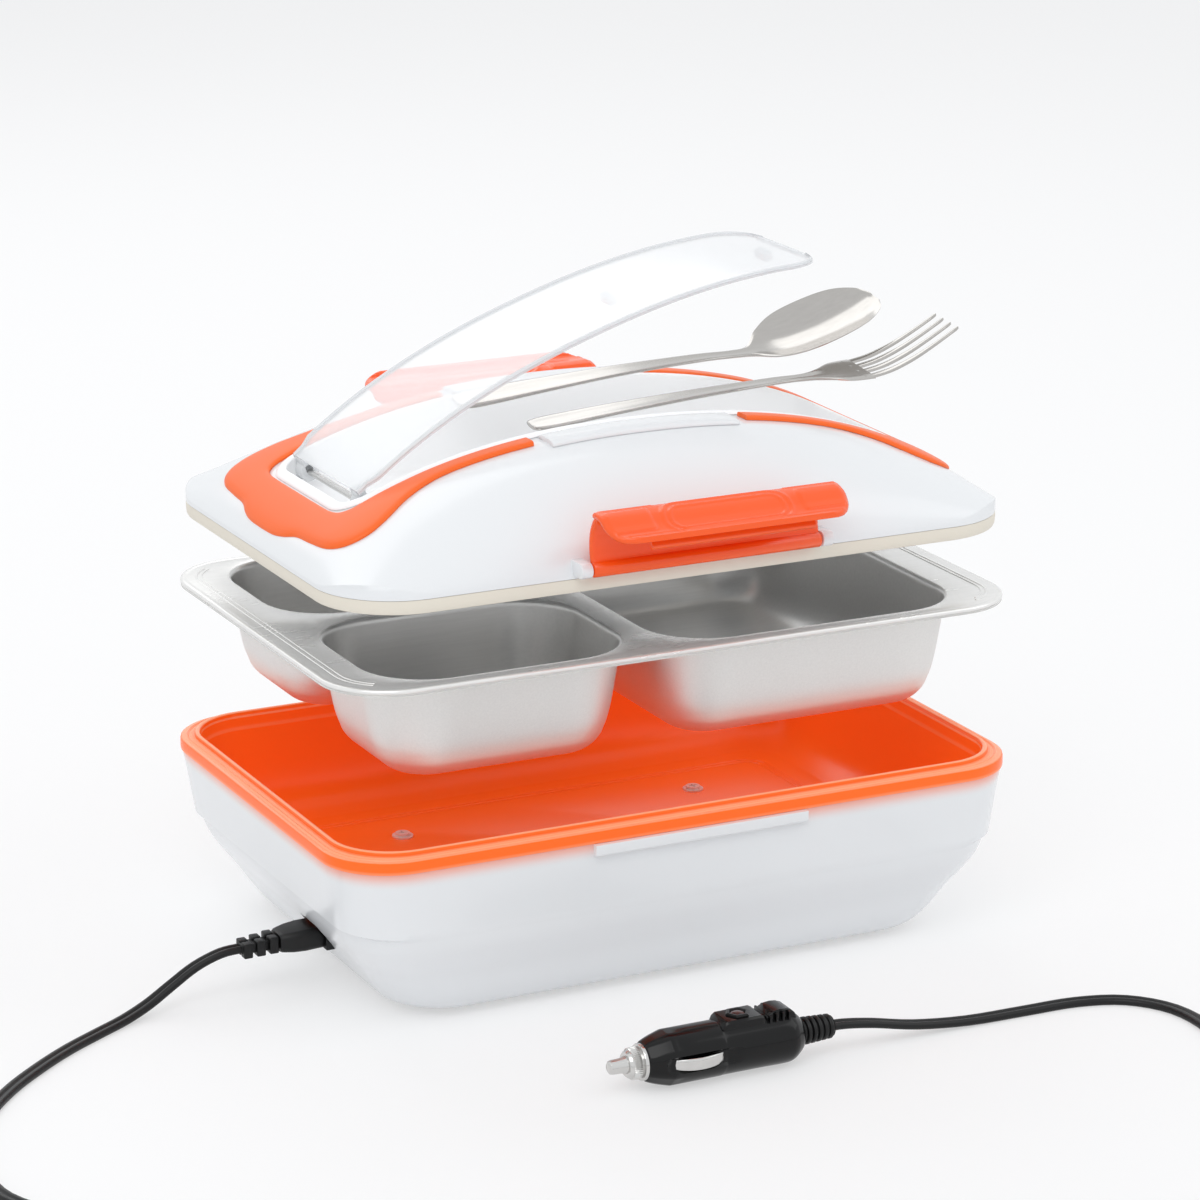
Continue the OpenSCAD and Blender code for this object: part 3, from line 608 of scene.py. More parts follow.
def makePlug():
    y, z = plug["y"], plug["z"]
    made = []

    def add(name, shape, look, node, sharp=40.0, slot="black_gloss", body="base", round=0.0):
        made.append(piece(name, shape, body, slot, look, node, sharp=sharp, round=round))

    halves = ["plug_shell_top", "plug_shell_bottom"]
    upper = halves[:1]
    shell = turnedOnX(smoothLine(plug["shell"], 5), y, z, 96, plugRadius)
    add("plugShell", shell, "blackPlug", halves, 28)
    deck = []
    for x, w, h in plug["deck"]:
        side = [(y + w, h - 3.4), (y + w, h - 0.7), (y + w - 0.7, h), (y - w + 0.7, h), (y - w, h - 0.7),
                (y - w, h - 3.4)]
        deck.append([(x, across, z + up) for across, up in side])
    add("plugDeck", flipped(skin(deck)), "blackPlug", upper, 30)
    middle, half, foot, rise = plug["thumb"]
    turns = [math.pi * k / 8 for k in range(9)]
    thumb = [(middle - half * math.cos(w), foot + rise * max(math.sin(w), 0) ** 0.8) for w in turns]
    rings = [[(x, y + w, z + h - drop) for x, h in thumb]
             for w, drop in ((-4.3, 0.35), (-3.9, 0), (3.9, 0), (4.3, 0.35))]
    add("plugThumb", skin(rings), "blackPlug", upper, 35)
    for i in range(plug["ribs"]):
        x = plug["ribStart"] + i * plug["ribPitch"]
        rib = block(x, x + 0.9, y - 5.6, y + 5.6, z + 5.5, z + 9.6 + (0.5 if i else 0))
        add(f"plugRib{i}", rib, "blackPlug", upper, round=0.25)
    hexRing = [levelRing(plug["lampX"], y, z + h, r, 6) for r, h in plug["lampRing"]]
    add("lensRing", flipped(skin(hexRing, caps=False)), "blackPlug", upper, 25)
    bead = [levelRing(plug["lampX"], y, z + h, r, 20) for r, h in plug["lampBead"]]
    add("plugLens", flipped(skin(bead)), "darkLens", ["plug_lens"], slot="dark_lens")

    def knurl(x, r, t):
        if -59.6 < x < -57.0:
            return r + 0.28 * math.cos(t * plug["knurls"])
        return r
    nose = turnedOnX(plug["nose"], y, z, plug["knurls"] * 4, knurl)
    add("noseRing", nose, "brightSteel", ["plug_nose_ring"], slot="bright_steel")
    tip = turnedOnX(plug["tip"], y, z, 40)
    add("tipPin", tip, "brightSteel", ["plug_tip_pin"], slot="bright_steel", body="tip_pin")
    boot = [(1.5, 0.1), (1.5, 3.7), (2.4, 3.8), (3.4, 3.8)]
    for k in range(plug["bootRibs"]):
        x, r = 3.6 + k * 2.1, 4.6 - k * 0.12
        boot += [(x, r - 0.25), (x + 0.25, r), (x + 1.05, r), (x + 1.3, r - 0.25), (x + 1.35, 3.5), (x + 1.95, 3.5)]
    boot += [(13.7, 3.5), (14, 3.1), (14, 0.1)]
    add("plugBoot", turnedOnX(boot, y, z, 36), "blackLead", ["plug_boot"], 50, "black_rubber")
    middle, half, reach, drop = plug["contact"]
    for side, end in ((-1, "left"), (1, "right")):
        rings = []
        for k in range(25):
            t = -1 + 2 * k / 24
            out = reach - drop * t * t
            w = 2.0 - 0.5 * abs(t) ** 3
            rings.append([(middle + half * t, y + side * (out + a), z + w * b + c)
                          for a, b, c in plug["contactFace"]])
        add("contactSpring" + end.title(), skin(rings), "brightSteel", [f"plug_contact_{end}"], 50, "bright_steel",
            f"contact_{end}")
    return made


plugPieces = makePlug()

# connector and strain relief at the wall

inlet = {"y": -20.0, "z": 18.7, "blocks": 3}


def makeInlet():
    y, z = inlet["y"], inlet["z"]
    stations = [(-104.2, 4.9, 2.5), (-111.6, 5.0, 2.6), (-112.0, 6.0, 3.4), (-112.6, 6.5, 3.8), (-119, 6.5, 3.85),
                (-123, 6.1, 3.65), (-125.6, 5.4, 3.4), (-127.0, 5.0, 3.2), (-127.6, 4.6, 2.9)]
    rings = [[(x, y + py, z - (-104 - x) * 0.04 + pz) for py, pz in outline(a, b, min(1.9, b - 0.3), 5)]
             for x, a, b in stations]
    piece("inletConnector", skin(rings), "base", "black_rubber", "blackLead", ["inlet_connector"], sharp=45)
    shapes = []
    for k in range(inlet["blocks"]):
        x1 = -128.2 - k * 4.6
        for side in (-1, 1):
            shapes.append(block(x1 - 3.2, x1, y + side * 0.5, y + side * (4.4 - k * 0.2), z - 3.9 - k * 0.2,
                                z + 1.9 - k * 0.5))
    shapes.append(block(-141, -127.4, y - 2.8, y + 2.8, z - 3.0, z + 0.3))
    piece("strainRelief", join(*shapes), "base", "black_rubber", "blackLead", ["strain_relief"], round=0.5, steps=3)


makeInlet()
print("lead, plug and connector made")

# base tub, open above, with the opening for the connector

base = {
    "halfLength": 128.0,
    "halfDepth": 86.0,
    "corner": 24.0,
    "wall": 2.2,
    "profile": [(0.15, 36, 25), (3.6, 27, 16.5), (9, 22.3, 12.3), (17, 17, 9), (24, 11.8, 5.2), (30, 8.4, 2.4),
                (35.4, 6.8, 1.2), (36.4, 4.6, 0.9), (50, 2.3, 0.7), (59.7, 0.5, 0.5)],
    "opening": (-126, -100, -27.3, -12.7, 13.9, 23.5),
    "catchHalf": 40.0,
    "catchFace": [(87.7, 59.6), (87.8, 59.0), (87.7, 56.2), (87.2, 55.6)],
    "catchBack": [(84.6, 55.6), (84.6, 59.6)],
}


def baseRing(z, ix, iy, inset, r):
    points = outline(base["halfLength"] - ix - inset, base["halfDepth"] - iy - inset, r, 12, 24, 14)
    return [(x, y, z) for x, y in points]


def tubRing(z, ix, iy, inset):
    return baseRing(z, ix, iy, inset, max(base["corner"] - 0.12 * (ix + inset), 8))


def makeTub():
    line = smoothLine(base["profile"][:7], 4) + smoothLine(base["profile"][7:], 5)
    rings = [tubRing(p[0], p[1], p[2], 0) for p in line]
    rings += [tubRing(59.7, 0.9, 0.9, 0.8)]
    rings += [tubRing(max(p[0], 3.2), p[1], p[2], base["wall"]) for p in reversed(line[4:])]
    tub = piece("tub", skin(rings), "base", "white_shell", "tubWhite", ["base_tub"], sharp=32)
    cutter = bpy.data.objects.new("cutter", bpy.data.meshes.new("cutter"))
    cut = block(*base["opening"])
    cutter.data.from_pydata(shrunk(cut[0]), [], cut[1])
    scene.collection.objects.link(cutter)
    hole = tub.modifiers.new("opening", "BOOLEAN")
    hole.object = cutter
    hole.operation = "DIFFERENCE"
    hole.solver = "EXACT"
    baked(tub)
    bpy.data.objects.remove(cutter)
    smoothed(tub, 32)
    half = base["catchHalf"]
    for side in (-1, 1):
        rows = []
        for x, grow in ((-half, 0.2), (-half + 0.5, 0.0), (half - 0.5, 0.0), (half, 0.2)):
            rows.append([(x, side * (y - grow), z) for y, z in base["catchFace"]]
                        + [(x, side * y, z) for y, z in base["catchBack"]])
        name = f"catchLedge{'Front' if side < 0 else 'Rear'}"
        piece(name, skin(rows), "base", "white_shell", "whiteShell", ["base_tub"], sharp=30)


makeTub()

# orange liner: brim, inner lip, walls and floor

liner = {
    "profile": [(27.5, 24, 24), (29.9, 18, 17), (34, 13.5, 11.4), (42, 10.6, 8.6), (54, 8.2, 7), (65.5, 6.1, 6.1)],
    "brim": [(59.7, 4.0), (59.7, 0.3), (59.9, 0.05), (60.3, 0), (63.0, 0), (63.6, 0.15), (63.95, 0.6), (64.0, 1.2),
             (64.0, 1.7), (64.35, 1.9), (64.5, 2.2), (64.35, 2.5), (64.0, 2.7), (64.0, 3.2), (64.4, 3.5), (64.5, 3.8),
             (64.5, 4.4), (65.2, 4.5), (65.75, 4.75), (66.0, 5.15), (65.95, 5.6), (65.75, 5.9)],
    "floorHalf": (96.0, 54.0),
}


def linerRing(z, ix, iy, inset=0.0):
    return baseRing(z, ix, iy, inset, max(base["corner"] - 0.5 * ix, 10) - inset)


def makeLiner():
    line = smoothLine(liner["profile"], 4)
    rings = [linerRing(z - (1.4 if i else 2.2), ix, iy, -2.0) for i, (z, ix, iy) in enumerate(line[:-2])]
    rings += [linerRing(z, i, i) for z, i in liner["brim"]]
    rings += [linerRing(*p) for p in reversed(line)]
    piece("liner", skin(rings), "base", "orange_plastic", "orangeLiner", ["liner"], sharp=35)
    a, b = liner["floorHalf"]
    beads = []
    for grow in (0.0, -2.4):
        points = [(x, y, 27.45) for x, y in outline(a + grow, b + grow, 9 + grow, 10, 20, 12)]
        beads.append(ringLine(points, 0.6, 0.45))
    piece("linerFloorBeads", join(*beads), "base", "orange_plastic", "orangeLiner", ["liner"], sharp=60)


makeLiner()
print("base made")

# food tray

tray = {
    "halfLength": 126.7,
    "halfDepth": 84.8,
    "corner": 24.0,
    "sheet": 0.6,
    "bowls": [(50, 0, 58, 79, 24), (-64, -41.5, 47, 37.5, 24), (-64, 41.5, 47, 37.5, 24)],
    "depths": [(0, 0), (0.15, 0.45), (0.6, 0.95), (1.4, 1.25), (2.5, 1.4), (20, 4.2), (28, 6.2), (33, 9), (36, 13),
               (37, 19)],
    "edge": [(-2.3, 0.15), (-2.35, 0.5), (-2.1, 0.75), (-1.6, 0.55), (-1.4, 0.1), (-0.9, -0.1), (-0.35, 0.1),
             (0.0, 0.65), (0.05, 1.3), (-0.1, 1.9), (-0.1, 2.6), (0.0, 3.0)],
    "ridges": ((-5.6, 0.5), (-7.4, 0.35)),  # inwards from the edge, half width
}
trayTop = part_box("food_tray")[1].z * 1000


def bowlRing(bowl, depth, inset, grow=0.0):
    cx, cy, hx, hy, r = bowl
    r = max(r - inset, 10) + grow
    return [(cx + x, cy + y, -depth - (grow * 0.9 if depth > 30 else 0))
            for x, y in outline(hx - inset + grow, hy - inset + grow, r, 10, 14, 14)]


def within(x, y, a, b, r):
    # inside a rounded rectangle about the middle
    dx, dy = abs(x) - (a - r), abs(y) - (b - r)
    return math.hypot(max(dx, 0), max(dy, 0)) + min(max(dx, dy), 0) < r


def inBowls(x, y):
    return any(within(x - cx, y - cy, hx, hy, r) for cx, cy, hx, hy, r in tray["bowls"])


def bowlSkin(bowl, line, grow=0.0):
    points, faces = skin([bowlRing(bowl, depth, inset, grow) for depth, inset in line], caps=False)
    n = len(points) // len(line)
    return points, faces + [tuple(range(len(points) - n, len(points)))]


def makeTray():
    a, b, r = tray["halfLength"], tray["halfDepth"], tray["corner"]
    rim = [outline(a - i, b - i, r - i, 12, 30, 20) for _, i in tray["edge"]]
    edge = skin([[(x, y, z) for x, y in ring] for (z, _), ring in zip(tray["edge"], rim)], caps=False)
    flat, loops = [], []
    for ring in [rim[-1]] + [[(p[0], p[1]) for p in bowlRing(bowl, 0, 0)] for bowl in tray["bowls"]]:
        start, n = len(flat), len(ring)
        flat += [Vector(p) for p in ring]
        loops += [(start + i, start + (i + 1) % n) for i in range(n)]
    verts, _, faces, *_ = geometry.delaunay_2d_cdt(flat, loops, [], 0, 1e-5)
    kept = []
    for face in faces:
        x = sum(verts[i].x for i in face) / 3
        y = sum(verts[i].y for i in face) / 3
        if within(x, y, a - 3, b - 3, r - 3) and not inBowls(x, y):
            kept.append(tuple(face))
    plate = [(v.x, v.y, 0.0) for v in verts], kept
    under = flipped(([(v.x, v.y, -tray["sheet"]) for v in verts], kept))
    line = tray["depths"][:5] + smoothLine(tray["depths"][4:], 4)[1:]
    low = [(max(depth, tray["sheet"]), inset) for depth, inset in line[3:]]
    inside = [bowlSkin(bowl, line) for bowl in tray["bowls"]]
    outside = [bowlSkin(bowl, low, tray["sheet"]) for bowl in tray["bowls"]]
    top = piece("trayTop", moved(join(edge, plate, *inside), z=trayTop), "tray", "tray_steel", "trayInside",
                ["food_tray"], sharp=50)
    piece("trayUnder", moved(join(under, *outside), z=trayTop), "tray", "tray_steel", "trayOutside", ["food_tray"],
          sharp=50)
    secondLook(top, "trayRim", lambda c: c.z > trayTop - 2.6 and not inBowls(c.x, c.y))
    ridges = []
    for grow, half in tray["ridges"]:
        points = [(x, y, trayTop - 0.05) for x, y in outline(a + grow, b + grow, r + grow, 12, 30, 20)]
        profile = [(half * math.cos(math.pi * k / 5), 0.32 * math.sin(math.pi * k / 5)) for k in range(6)]
        for end in ([p for p in points if p[0] > 109.5], [p for p in points if p[0] < -112.5]):
            ridges.append(tube(sorted(end, key=lambda p: p[1]), profile))
    piece("trayRidges", join(*ridges), "tray", "tray_steel", "trayRim", ["food_tray"], sharp=60)


makeTray()
print("tray made")

# lid: arched shell with the opening of the well

lid = {
    "x": 125.5,
    "y": 83.5,
    "edge": 6.2,
    "height": 41.0,
    "crownHalf": 40.0,
    "wellX": 102.8,
    "wellY": 29.0,
    # steps from the outer edge to the well
    "shares": [0, 0.006, 0.015, 0.03, 0.05, 0.08, 0.12, 0.17, 0.22, 0.28, 0.34, 0.41, 0.48, 0.56, 0.64, 0.73, 0.82,
               0.91, 1],
    "wall": 2.2,
    "corner": 28.0,
    "sealHeight": 5.0,
    # height and distance inwards
    "seal": [(0.0, 8.4), (0.0, 1.2), (0.3, 0.5), (1.2, 0.1), (2.5, 0.0), (4.2, 0.0), (4.8, 0.1), (5.0, 0.4),
             (5.0, 8.0)],
    "pin": (88.3, 8.8),  # across and up, the latches turn about it
    "lug": (44.5, 2.0, 2.6, 6.2),  # along, half width, radius, length of the arm
}
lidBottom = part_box("lid_seal")[0].z * 1000


def arch(x):
    return lid["edge"] + (lid["height"] - lid["edge"]) * max(1 - (abs(x) / lid["x"]) ** 2.2, 0) ** 0.75


def dome(x, y):
    t = max(abs(y) - lid["crownHalf"], 0) / (lid["y"] - lid["crownHalf"])
    return lid["edge"] + (arch(x) - lid["edge"]) * max(1 - t ** 1.6, 0) ** 0.625


def inLid(name, shape, slot, look, node, **way):
    piece(name, moved(shape, z=lidBottom), "lid", slot, look, [node], **way)


def makeLid():
    outer = outline(lid["x"], lid["y"], lid["corner"], 12, 27, 11)
    well = outline(lid["wellX"] + 2.2, lid["wellY"] + 2.2, 8, 12, 27, 11)

    def ring(k, drop):
        # k goes from the outer edge to the well, drop is the depth under the outer face
        s = 1 - drop / lid["y"]
        out = []
        for (px, py), (qx, qy) in zip(outer, well):
            x, y = px * s + (qx - px * s) * k, py * s + (qy - py * s) * k
            out.append((x, y, max(dome(x, y) - drop, lid["sealHeight"])))
        return out

    rings = [[(x, y, lid["sealHeight"]) for x, y in outer]]
    rings += [ring(k, 0) for k in lid["shares"]]
    rings += [ring(k, lid["wall"]) for k in reversed(lid["shares"][::2])]
    inLid("lidShell", skin(rings, along=True), "white_shell", "whiteShell", "lid_shell", sharp=75)
    a, b, r = lid["x"], lid["y"], lid["corner"]
    rings = [[(x, y, z) for x, y in outline(a - i, b - i, r - i, 12, 10, 8)] for z, i in lid["seal"]]
    inLid("lidSeal", skin(rings, along=True), "cream_seal", "creamSeal", "lid_seal", sharp=40)
    along, half, r, arm = lid["lug"]
    turns = [math.radians(15 * k - 90) for k in range(13)]
    side = [(-arm, -r)] + [(r * math.cos(w), r * math.sin(w)) for w in turns] + [(-arm, r)]
    pinY, pinZ = lid["pin"]
    lugs = [skin([[(end + w, hand * (pinY + u), pinZ + v) for u, v in side] for w in (-half, half)])
            for hand in (-1, 1) for end in (-along, along)]
    inLid("latchLugs", join(*lugs), "white_shell", "whiteShell", "lid_shell", round=0.3)


makeLid()

# cutlery well with its bright raised lip

well = {
    "floor": [(-2, 6, 13.4), (1.8, 8, 16.4)],  # outwards, corner, height
    "lip": [(1.8, 0.2), (3.3, 0.2), (3.6, 0.45), (3.4, 0.85), (2.6, 1.2), (1.2, 1.35), (0.4, 1.15), (0.0, 0.7),
            (0.0, -1.0)],  # outwards, above the dome
    "inside": [(0, 7, 18), (-0.6, 6.6, 16.4), (-1.6, 6, 15.5), (-3, 5, 15.2)],
}


def makeWell():
    def ring(grow, r):
        return outline(lid["wellX"] + grow, lid["wellY"] + grow, r, 8, 27, 7)

    rings = [[(x, y, z) for x, y in ring(grow, r)] for grow, r, z in well["floor"]]
    rings += [[(x, y, dome(x, y) + up) for x, y in ring(grow, 7 + grow)] for grow, up in well["lip"]]
    rings += [[(x, y, z) for x, y in ring(grow, r)] for grow, r, z in well["inside"]]
    inLid("cutleryWell", skin(rings), "white_shell", "wellWhitePaintedGlow", "cutlery_well", sharp=45)


makeWell()

# orange trims, grip pads

trim = {
    "outer": [(-40, 40.5), (-62, 40.5), (-76, 41.5), (-88, 45.5), (-98, 51), (-106, 53.5), (-113, 51.5), (-117, 45),
              (-118.2, 34), (-118.8, 24), (-120.6, 17), (-121.6, 10), (-121.8, 0)],
    "inner": [(-40, 33.4), (-60, 33.4), (-73, 33.4), (-83, 33.4), (-92, 33.4), (-99, 33.4), (-103, 33), (-106, 30.6),
              (-107.2, 26), (-107.4, 20), (-107.4, 14), (-107.4, 8), (-107.4, 0)],
    "height": 1.7,
    "padHalf": 35.0,
    "padEdges": (45.0, 33.2),
    "padHeight": 1.5,
    # share from the inner edge to the outer one, share of the height
    "soft": [(1, 0), (1, 0.45), (0.975, 0.72), (0.92, 0.9), (0.82, 0.985), (0.66, 1), (0.5, 1), (0.34, 1),
             (0.18, 0.985), (0.08, 0.9), (0.025, 0.72), (0, 0.45), (0, 0)],
}


def band(outer, inner, top):
    rings = []
    for (px, py), (qx, qy) in zip(outer, inner):
        ring = []
        for k, share in trim["soft"]:
            x, y = px + (qx - px) * k, py + (qy - py) * k
            ring.append((x, y, dome(x, y) + 0.1 + (top - 0.1) * share))
        rings.append(ring)
    return skin(rings)


def makeTrims():
    edges = []
    for line in (trim["outer"], trim["inner"]):
        line = smoothLine(line, 5)
        edges.append(line + [(x, -y) for x, y in reversed(line[:-1])])
    for side, end in ((1, "left"), (-1, "right")):
        shape = band(*[[(side * x, y) for x, y in edge] for edge in edges], trim["height"])
        inLid("trim" + end.title(), shape, "orange_plastic", "orangeTrim", end + "_trim", sharp=50)
    half = trim["padHalf"]
    xs = [-half + 2 * half * i / 16 for i in range(17)]
    pads = [band(*[[(x, side * y) for x in xs] for y in trim["padEdges"]], trim["padHeight"]) for side in (-1, 1)]
    inLid("fingerPads", join(*pads), "white_shell", "whiteShell", "finger_pads", sharp=50, round=0.25)


makeTrims()

# latches

latch = {
    "line": [(0, 0.6), (-1.2, 4), (-1.6, 8.5), (-0.8, 13), (1.8, 17.2), (6.2, 19.9), (11, 19.2), (15.4, 16.4),
             (19.6, 14.7), (24, 15)],
    "thick": 2.2,
    "legHalf": 42.0,
    "wingHalf": 44.5,
    "reach": 23.0,
    "corner": 11.0,
    "open": 122.0,
    "rib": [(-1.6, -21.0), (6.2, -20.8), (6.2, -22.5), (-1.2, -23.0)],
    "ribHalf": 30.0,
    "barrel": 2.6,
    "rearTilt": 32.0,
}


def slab(x, y, hx, hy, r):
    # signed distance to a rounded rectangle
    dx, dy = abs(x) - (hx - r), abs(y) - (hy - r)
    return math.hypot(max(dx, 0), max(dy, 0)) + min(max(dx, dy), 0) - r


def bead(d, width):
    return math.exp(-(d / width) ** 2)


def latchRelief(x, u, s):
    # raised detail on the outer face: x along the latch, u outward, s along the sheet
    out = 0.0
    if s > 17:
        d = slab(x, u - 14.2, 23, 6.8, 6.8)
        out += 0.45 * bead(d, 0.55) + 0.4 * bead(d + 2.3, 0.5)
        panel = slab(abs(x) - 35, u - 13.2, 8.2, 4.8, 1.2)
        out += 0.5 * (1 - softStep(-0.9, 0.1, panel))
        if abs(x) < 41:
            out += 0.4 * bead(u - 20.6, 0.4) + 0.4 * bead(u - 22.0, 0.35)
        if abs(x) > 24:
            out += 0.3 * bead(u - 6.8, 0.4)
    else:
        out += 0.35 * bead(s - 3.4, 0.45) + 0.35 * bead(s - 6.2, 0.45)
    return out


def latchShape():
    line = smoothLine(latch["line"], 14)
    line = [p for p in line if p[0] <= latch["reach"]]
    lengths = [0.0]
    for a, b in zip(line, line[1:]):
        lengths.append(lengths[-1] + math.dist(a, b))
    crest = next(i for i, p in enumerate(line) if p[0] >= 5.0)
    n = 132
    top, low = [], []
    for i, (u, v) in enumerate(line):
        a, b = line[max(i - 1, 0)], line[min(i + 1, len(line) - 1)]
        t = Vector((b[0] - a[0], b[1] - a[1])).normalized()
        normal = (-t.y, t.x)
        end = latch["reach"] - u
        corner, half = latch["corner"], latch["wingHalf"]
        if end < corner:
            half += math.sqrt(max(corner ** 2 - (corner - end) ** 2, 0)) - corner
        grow = softStep(lengths[crest] - 2.5, lengths[crest] + 0.5, lengths[i])
        half = latch["legHalf"] + (half - latch["legHalf"]) * grow
        rowTop, rowLow = [], []
        for k in range(n + 1):
            x = -half + 2 * half * k / n
            margin = min(half - abs(x), max(end, 0.0) + 0.15)
            thin = math.sqrt(1 - (1 - min(margin / 1.2, 1)) ** 2) if margin < 1.2 else 1.0
            h = latch["thick"] / 2 * (0.35 + 0.65 * thin)
            raised = latchRelief(x, u, lengths[i]) if margin > 1.2 else 0
            rowTop.append((x, u + normal[0] * (h + raised), v + normal[1] * (h + raised)))
            rowLow.append((x, u - normal[0] * h, v - normal[1] * h))
        top.append(rowTop)
        low.append(rowLow)
    rings = [t + list(reversed(l)) for t, l in zip(top, low)]
    sheet = skin(rings)
    leg, r = latch["legHalf"], latch["barrel"]
    barrel = turnedOnX([(-leg, r - 0.35), (-leg + 0.4, r), (leg - 0.4, r), (leg, r - 0.35)], 0, 0, 28)
    turn = math.radians(latch["open"])  # the rib is drawn where it stands when the latch is shut
    c, s = math.cos(turn), math.sin(turn)
    half = latch["ribHalf"]
    rib = skin([[(x, u * c - v * s, u * s + v * c) for u, v in latch["rib"]] for x in (-half, half)])
    return sheet, barrel, rib


def makeLatches():
    sheet, barrel, rib = latchShape()
    y, z = lid["pin"][0], lidBottom + lid["pin"][1]
    tilt = math.radians(latch["rearTilt"])
    c, s = math.cos(tilt), math.sin(tilt)

    def front(x, u, v):
        return -x, -y - u, z + v

    def rear(x, u, v):
        return x, y + u * c - v * s, z + u * s + v * c

    for name, place in (("front", front), ("rear", rear)):
        node = name + "_latch"
        for part, shape, way in (("Sheet", sheet, {"sharp": 60}), ("Barrel", barrel, {"sharp": 50}),
                                 ("Rib", rib, {"round": 0.4, "steps": 3})):
            piece(f"{name}Latch{part}", changed(shape, place), node, "orange_plastic", "orangeLatch", [node], **way)


makeLatches()
print("lid and latches made")

# milky cover over the cutlery

cover = {
    "hinge": (-95.0, 22.0),
    "open": 18.5,
    "gap": 1.5,
    "thick": 1.8,
    "end": 88.0,
    "tail": 1.6,
    "knuckleY": 23.8,
    "knuckle": [(-3, 2.9), (-2.6, 3.4), (2.6, 3.4), (3, 2.9)],  # along the pin, radius
    "clips": (20, 80),
}


def coverHalf(x):
    if x < cover["hinge"][0] + 6:
        return 28.3
    d = max(x - 74.4, 0)
    return min(30.6, 17 + math.sqrt(max(13.6 ** 2 - d * d, 0)))


def makeCover():
    hx, hz = cover["hinge"]
    turn = math.radians(cover["open"])
    c, s = math.cos(turn), math.sin(turn)

    def place(x, y, z):
        dx, dz = x - hx, z - hz
        return hx + dx * c - dz * s, y, lidBottom + hz + dx * s + dz * c

    def add(name, shape, look, **way):
        return piece(name, changed(shape, place), "cover", "milky_cover", look, ["cutlery_cover"], **way)

    length = cover["end"] - hx + cover["tail"]
    xs = [hx - cover["tail"] + length * (1 - (1 - k / 60) ** 1.25) for k in range(61)]
    t, rings, n = cover["thick"], [], 24
    for x in xs:
        half = coverHalf(x)
        z = arch(x) + cover["gap"]
        ys = [half * (1 - 2 * k / n) for k in range(n + 1)]
        ring = []
        for y in ys:
            edge = softStep(0, 1.6, half - abs(y))
            ring.append((x, y, z + t * (0.55 + 0.2 * edge) + 0.175 * (1 - (y / half) ** 2)))
        for y in reversed(ys):
            ring.append((x, y, z + 0.75 * softStep(0.8, 2.4, half - abs(y))))
        rings.append(ring)
    panel = add("coverPanel", skin(rings), "milkyCover", sharp=60)
    panel.visible_shadow = False  # the thin clear sheet hardly dims the well
    turns = [2 * math.pi * k / 10 for k in range(10)]
    edges = []
    for side in (-1, 1):
        rows = []
        for x in xs:
            y, z = coverHalf(x) - 0.95, arch(x) + cover["gap"] + 0.9
            rows.append([(x, side * (y + 0.9 * math.cos(w)), z + 0.88 * math.sin(w)) for w in turns])
        edges.append(skin(rows))
    x, z = cover["end"] - 0.9, arch(cover["end"]) + cover["gap"] + 0.9
    edges.append(skin([[(x + 0.9 * math.cos(w), 17 - 3.4 * k, z + 0.88 * math.sin(w)) for w in turns]
                       for k in range(11)]))
    add("coverEdges", join(*edges), "milkyEdge", sharp=60)
    shapes, tail = [], cover["tail"]
    for side in (-1, 1):
        y = side * cover["knuckleY"]
        rings = []
        for w, r in cover["knuckle"]:
            rings.append([(px, y + w, pz) for px, pz, _ in levelRing(hx, hz, 0, r, 28)])
        shapes += [skin(rings), block(hx - tail, hx + tail, y - 3, y + 3, hz, arch(hx) + cover["gap"] + 0.7)]
    for x in cover["clips"]:
        z = arch(x) + cover["gap"]
        shapes.append(block(x - 2, x + 1, -4, 4, z - 2.8, z + 0.6))
    add("coverFittings", join(*shapes), "milkyEdge", round=0.35)


makeCover()

# spoon and fork, held above the well

cutlery = {
    "turn": 6.0,
    # across, height in the well, roll towards the front, point it swings about
    "spoonPlace": (13.8, 16.2, 12.0, (-235.0, 575.0)),
    "forkPlace": (-15.4, 16.8, 6.0, (-190.0, 650.0)),
    # distance along, half width, height, rise of the sides
    "spoon": [(-86, 3.6, 8.4, 0.3), (-84, 5.6, 8.3, 0.3), (-77, 6.4, 8.1, 0.4), (-53, 5.4, 7.4, 0.5),
              (-23, 4, 6.2, 0.5), (7, 2.9, 4, 0.5), (21, 2.6, 2.4, 0.5), (29, 4, 1.6, 0.7), (36, 11, 1, 2.8),
              (45, 15.4, 1.4, 5), (57, 16.2, 3.6, 5.6), (68, 14.4, 7, 4.6), (75.5, 9.4, 10.4, 2.4),
              (78.5, 4, 12.2, 0.7)],
    "fork": [(-79, 3.6, 7.6, 0.3), (-77, 5.2, 7.5, 0.3), (-70, 6, 7.3, 0.4), (-46, 5.2, 6.6, 0.5),
             (-16, 4, 5.2, 0.5), (14, 2.9, 3.2, 0.5), (26, 2.8, 2, 0.5), (34, 5.6, 1.2, 0.6), (41, 9.6, 0.6, 0.6),
             (49, 10.4, 0.4, 0.2)],
    "tines": [(46, 1), (49, 0.8), (57, 1.5), (66, 3.8), (75, 7.2), (84, 11.2)],
    "tinePitch": 5.3,
}


def cutleryShape(line):
    rings, across = [], 16
    for x, half, z, rise in smoothLine(line, 8):
        ring = []
        for k in range(across + 1):
            q = 1 - 2 * k / across
            ring.append((x, half * q, z + rise * q * q + 1.1 * (1 - 0.6 * abs(q) ** 6)))
        for k in range(across, -1, -1):
            q = 1 - 2 * k / across
            ring.append((x, half * q, z + rise * q * q - 0.35 * (1 - abs(q) ** 4) + 0.15 * abs(q) ** 6))
        rings.append(ring)
    return skin(rings)


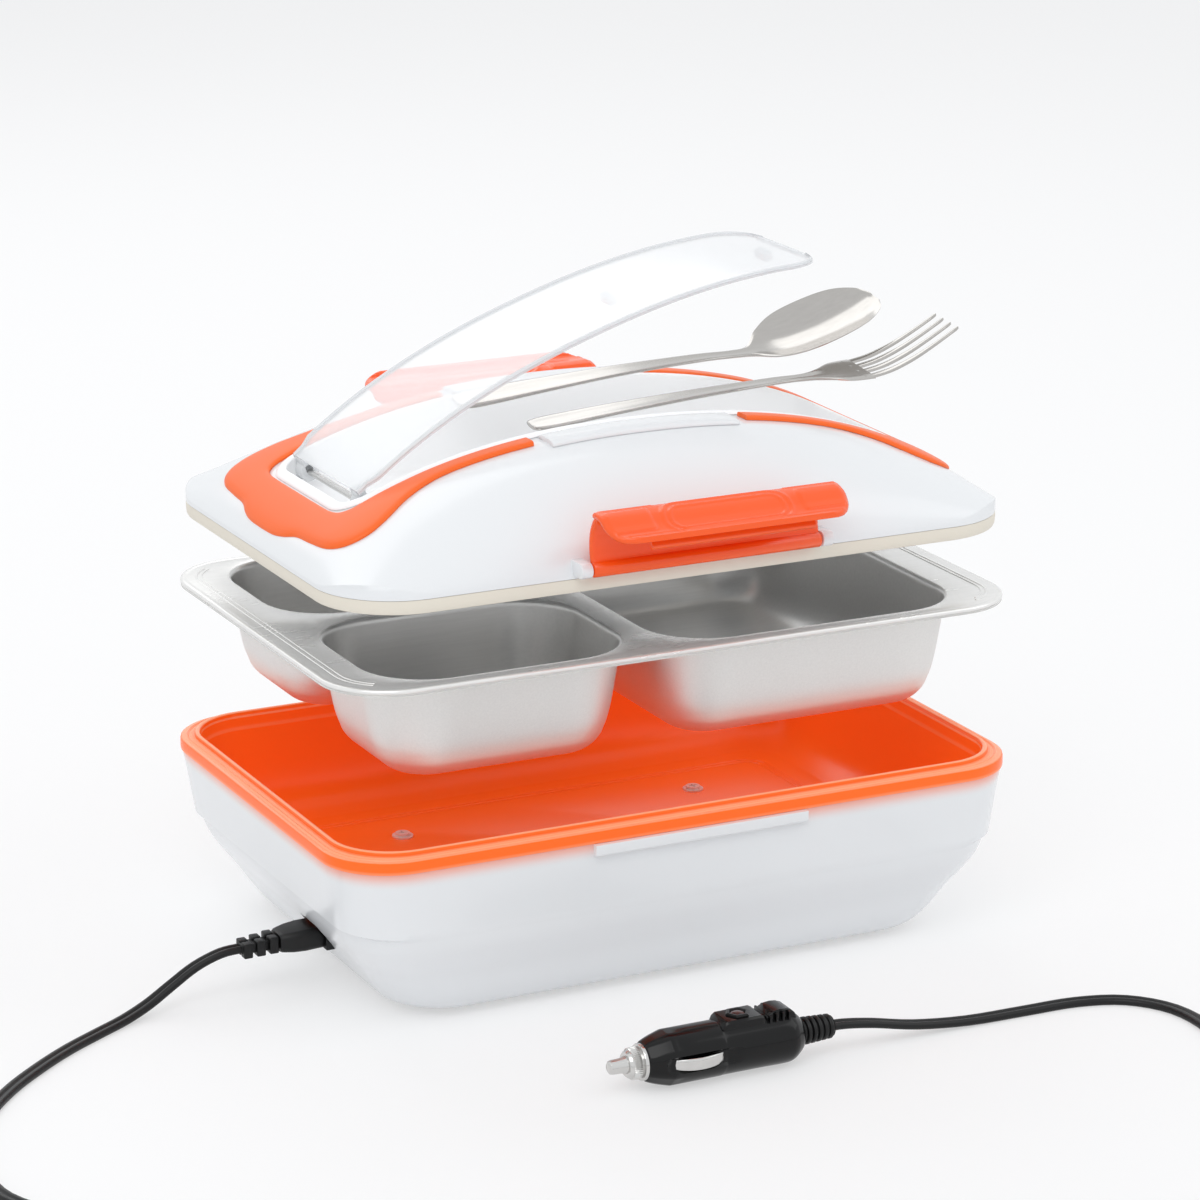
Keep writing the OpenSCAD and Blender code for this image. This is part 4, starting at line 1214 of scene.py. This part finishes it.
def makeCutlery():
    turn = math.radians(cutlery["turn"])
    c, s = math.cos(turn), math.sin(turn)

    def held(across, rise, roll, about):
        cr, sr = math.cos(math.radians(roll)), math.sin(math.radians(roll))
        px, pz = about

        def place(x, y, z):
            ry, rz = y * cr - z * sr, y * sr + z * cr
            dx, dz = x - px, rz + lidBottom + rise - pz
            return px + dx * c - dz * s, ry + across, pz + dx * s + dz * c
        return place

    def add(name, shape):
        shape = changed(shape, held(*cutlery[name + "Place"]))
        piece(name, shape, name, "cutlery_steel", "cutlerySteel", [name], sharp=60)

    add("spoon", cutleryShape(cutlery["spoon"]))
    shapes = [cutleryShape(cutlery["fork"])]
    turns = [2 * math.pi * j / 14 for j in range(14)]
    tineLine = smoothLine(cutlery["tines"], 6)
    tipX = tineLine[-1][0]
    for k in (-1.5, -0.5, 0.5, 1.5):
        rings = []
        for i, (x, z) in enumerate(tineLine):
            w = 1.75 - 0.9 * softStep(51, tipX, x)
            if i == len(tineLine) - 1:
                w *= 0.55
            y = k * cutlery["tinePitch"] * (1 - 0.04 * softStep(62, tipX, x))
            rings.append([(x, y + w * math.cos(a), z + 0.1 + 0.6 * math.sin(a)) for a in turns])
        shapes.append(skin(rings))
    add("fork", join(*shapes))


makeCutlery()
print("cover and cutlery made")

# finishes of the model's own pieces

ownFinishes = {
    "darkRubber": ["rubber_feet", "inlet_socket"],
    "screwSteel": ["liner_screws", "screw_washers"],
    "heatPlate": ["heating_plate", "ptc_heater"],
    "brightSteel": ["heater_clip", "front_latch_pin", "rear_latch_pin", "cover_pin", "plug_spring"],
    "palePad": ["thermal_cutout", "insulation_pad"],
    "redWire": ["heater_wires"],
    "brassMetal": ["inlet_pins", "plug_fuse_clip"],
    "whiteShell": ["lid_inner_panel"],
    "milkyBoss": ["cover_lugs"],
    "clearGlass": ["plug_fuse"],
}


def dressOwnPieces():
    for look, nodes in ownFinishes.items():
        for node in nodes:
            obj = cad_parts[node]
            if not obj.material_slots:
                obj.data.materials.append(None)
            for holder in obj.material_slots:
                holder.link = "OBJECT"
                holder.material = finishes[look].material


dressOwnPieces()
